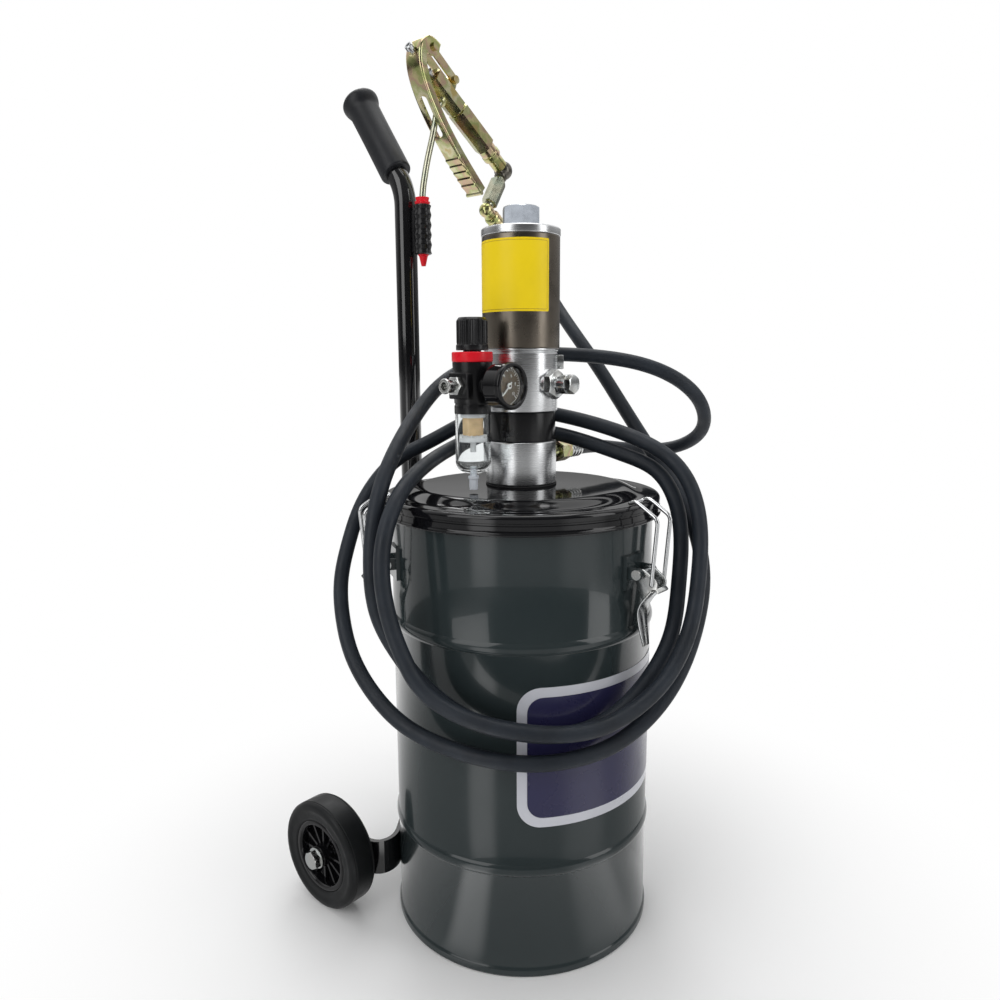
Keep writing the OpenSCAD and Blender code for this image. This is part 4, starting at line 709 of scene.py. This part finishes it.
# Wheels
WHEEL_X, WHEEL_Y, WHEEL_R = 158, 159, 62.5
for name, x in (("left", -1), ("right", 1)):
    hub_at = at(WHEEL_X * x, WHEEL_Y, WHEEL_R) @ (TO_X if x > 0 else TO_MINUS_X)
    flank = [(42, 14.5), (44, 15.4, 1), (50, 15.8, 2), (55, 17.3, 2), (60, 16.2, 4), (62.4, 12.6, 2),
             (61.7, 12.2, 0.3), (61.7, 11.4, 0.3), (WHEEL_R, 10.8, 0.5)]
    tyre = soft([(q[0], -q[1], *q[2:]) for q in flank] + flank[::-1], 0.8, n=5)
    add("tyre_ring_" + name, place(lathe(tyre, 112), hub_at), "tyre", body="wheel_" + name,
        nodes=("tyre_" + name,))
    rim = soft([(35, -13), (36.5, -15.2), (40.5, -15.2), (42, -14), (42, 14), (40.5, 15.2), (36.5, 15.2),
                (35, 13), (34.4, 4), (13, 3.4), (12.4, 17.5), (6.05, 17.5), (6.05, -17.5), (12.4, -17.5),
                (13, -3.4), (34.4, -4)], 0.9, closed=True)
    spokes = [place(block((11, -1.3, z0), (36, 1.3, z1)), turn(30 * k, "Z"))
              for k in range(12) for z0, z1 in ((3, 9), (-9, -3))]
    add("hub_moulding_" + name, place(merge(lathe(rim, 96, closed=True), *spokes), hub_at), "gloss_black",
        body="wheel_" + name, nodes=("hub_" + name,))

# Nodes that keep their CAD shape take the same looks
slot_of_node = {s["node"]: s["material_slot"] for s in frame["record"]["subparts"]}
for node, piece in frame["nodes"].items():
    if not piece.hide_render:
        piece.data.materials.clear()
        piece.data.materials.append(M["yellow_zinc" if node == "trigger_pins" else slot_of_node[node]])


# Floor and studio room: plain white for the camera, shaded by direction for reflections
def maths(tree, operation, *inputs):
    """Math node on two values or sockets."""
    node = tree.nodes.new("ShaderNodeMath")
    node.operation = operation
    for k, value in enumerate(inputs):
        if isinstance(value, (int, float)):
            node.inputs[k].default_value = value
        else:
            tree.links.new(value, node.inputs[k])
    return node.outputs["Value"]


def spread(tree, value, low, high, start=0.0, stop=1.0):
    """Smooth change from start to stop while a value goes from low to high."""
    node = tree.nodes.new("ShaderNodeMapRange")
    node.interpolation_type = "SMOOTHSTEP"
    for key, number in (("From Min", low), ("From Max", high), ("To Min", start), ("To Max", stop)):
        node.inputs[key].default_value = number
    tree.links.new(value, node.inputs["Value"])
    return node.outputs["Result"]


def vector_maths(tree, operation, vector, other=None):
    node = tree.nodes.new("ShaderNodeVectorMath")
    node.operation = operation
    tree.links.new(vector, node.inputs[0])
    if other:
        node.inputs[1].default_value = other
    return node.outputs["Vector" if operation == "NORMALIZE" else "Value"]


def rays(tree):
    """Rays that show the plain background, and rays that mirror it."""
    path = tree.nodes.new("ShaderNodeLightPath")
    plain = maths(tree, "MAXIMUM", path.outputs["Is Camera Ray"], path.outputs["Is Transmission Ray"])
    return plain, path.outputs["Is Glossy Ray"]


def blend(tree, share, first, second, output):
    mix = tree.nodes.new("ShaderNodeMixShader")
    for k, source in enumerate((share, first, second)):
        tree.links.new(source, mix.inputs[k])
    tree.links.new(mix.outputs["Shader"], tree.nodes[output].inputs["Surface"])


floor_mesh = bpy.data.meshes.new("floor")
floor_mesh.from_pydata([(-30, -30, 0), (30, -30, 0), (30, 30, 0), (-30, 30, 0)], [], [[0, 1, 2, 3]])
floor = bpy.data.objects.new("floor", floor_mesh)
scene.collection.objects.link(floor)
pale = material("floor_pale", (0.94, 0.94, 0.94), 0.9, var=0.01, scale=2, bump=0.0)
floor_mesh.materials.append(pale)
tree = pale.node_tree
spot = tree.nodes.new("ShaderNodeNewGeometry").outputs["Position"]
reach, way = vector_maths(tree, "LENGTH", spot), vector_maths(tree, "NORMALIZE", spot)
plain, glossy = rays(tree)
mirrored = FLOOR_LEVEL
for azimuth, inner, outer, level in ((40, 45, 105, 0.55), (-172, 4, 13, 1.3), (-92, 4, 22, 0.45)):
    middle = (math.cos(math.radians(azimuth)), math.sin(math.radians(azimuth)), 0)
    sector = spread(tree, vector_maths(tree, "DOT_PRODUCT", way, middle), math.cos(math.radians(outer)),
                    math.cos(math.radians(inner)), stop=level)
    mirrored = maths(tree, "ADD", sector, mirrored)
glow = tree.nodes.new("ShaderNodeEmission")
tree.links.new(maths(tree, "MAXIMUM", plain, maths(tree, "MULTIPLY", glossy, mirrored)),
               glow.inputs["Strength"])
share = maths(tree, "MAXIMUM", maths(tree, "MULTIPLY", plain, spread(tree, reach, 0.16, 0.62)),
              maths(tree, "MULTIPLY", glossy, spread(tree, reach, 0.143, 0.19)))
blend(tree, share, tree.nodes["Principled BSDF"].outputs["BSDF"], glow.outputs["Emission"], "Material Output")

world = bpy.data.worlds.new("studio")
scene.world = world
world.use_nodes = True
tree = world.node_tree
room, backdrop = tree.nodes["Background"], tree.nodes.new("ShaderNodeBackground")
for light in (room, backdrop):
    light.inputs["Color"].default_value = (1, 1, 1, 1)
room.inputs["Strength"].default_value = ROOM_LEVEL
way = tree.nodes.new("ShaderNodeTexCoord").outputs["Generated"]
split = tree.nodes.new("ShaderNodeSeparateXYZ")
tree.links.new(way, split.inputs["Vector"])
plain, glossy = rays(tree)
sideways = spread(tree, vector_maths(tree, "DOT_PRODUCT", way, AWAY), -0.55, 0.60, start=0.14)
upwards = spread(tree, split.outputs["Z"], 0.0, 0.5, start=0.15)
shade = maths(tree, "MULTIPLY", sideways, upwards)
tree.links.new(maths(tree, "MAXIMUM", shade, plain), backdrop.inputs["Strength"])
blend(tree, maths(tree, "MAXIMUM", plain, glossy), room.outputs["Background"], backdrop.outputs["Background"],
      "World Output")


def softbox(name, pos, target, width, height, power):
    data = bpy.data.lights.new(name, "AREA")
    data.shape = "RECTANGLE"
    data.size, data.size_y = width, height
    data.energy = power
    lamp = bpy.data.objects.new(name, data)
    lamp.location = pos
    lamp.rotation_euler = (Vector(target) - Vector(pos)).to_track_quat("-Z", "Y").to_euler()
    scene.collection.objects.link(lamp)


softbox("key_box", (-2.6, 0.2, 1.9), (0, 0, 0.5), 1.8, 2.6, 28)
softbox("front_strip", (0.7, -2.6, 1.5), (0, 0, 0.5), 1.1, 2.4, 17)
softbox("top_box", (0.2, 0.2, 3.0), (0, 0, 0.3), 2.0, 2.0, 26)
softbox("back_box", (1.6, 1.8, 2.8), (0, 0, 0.5), 1.2, 1.4, 16)
scene.view_settings.view_transform = "Standard"
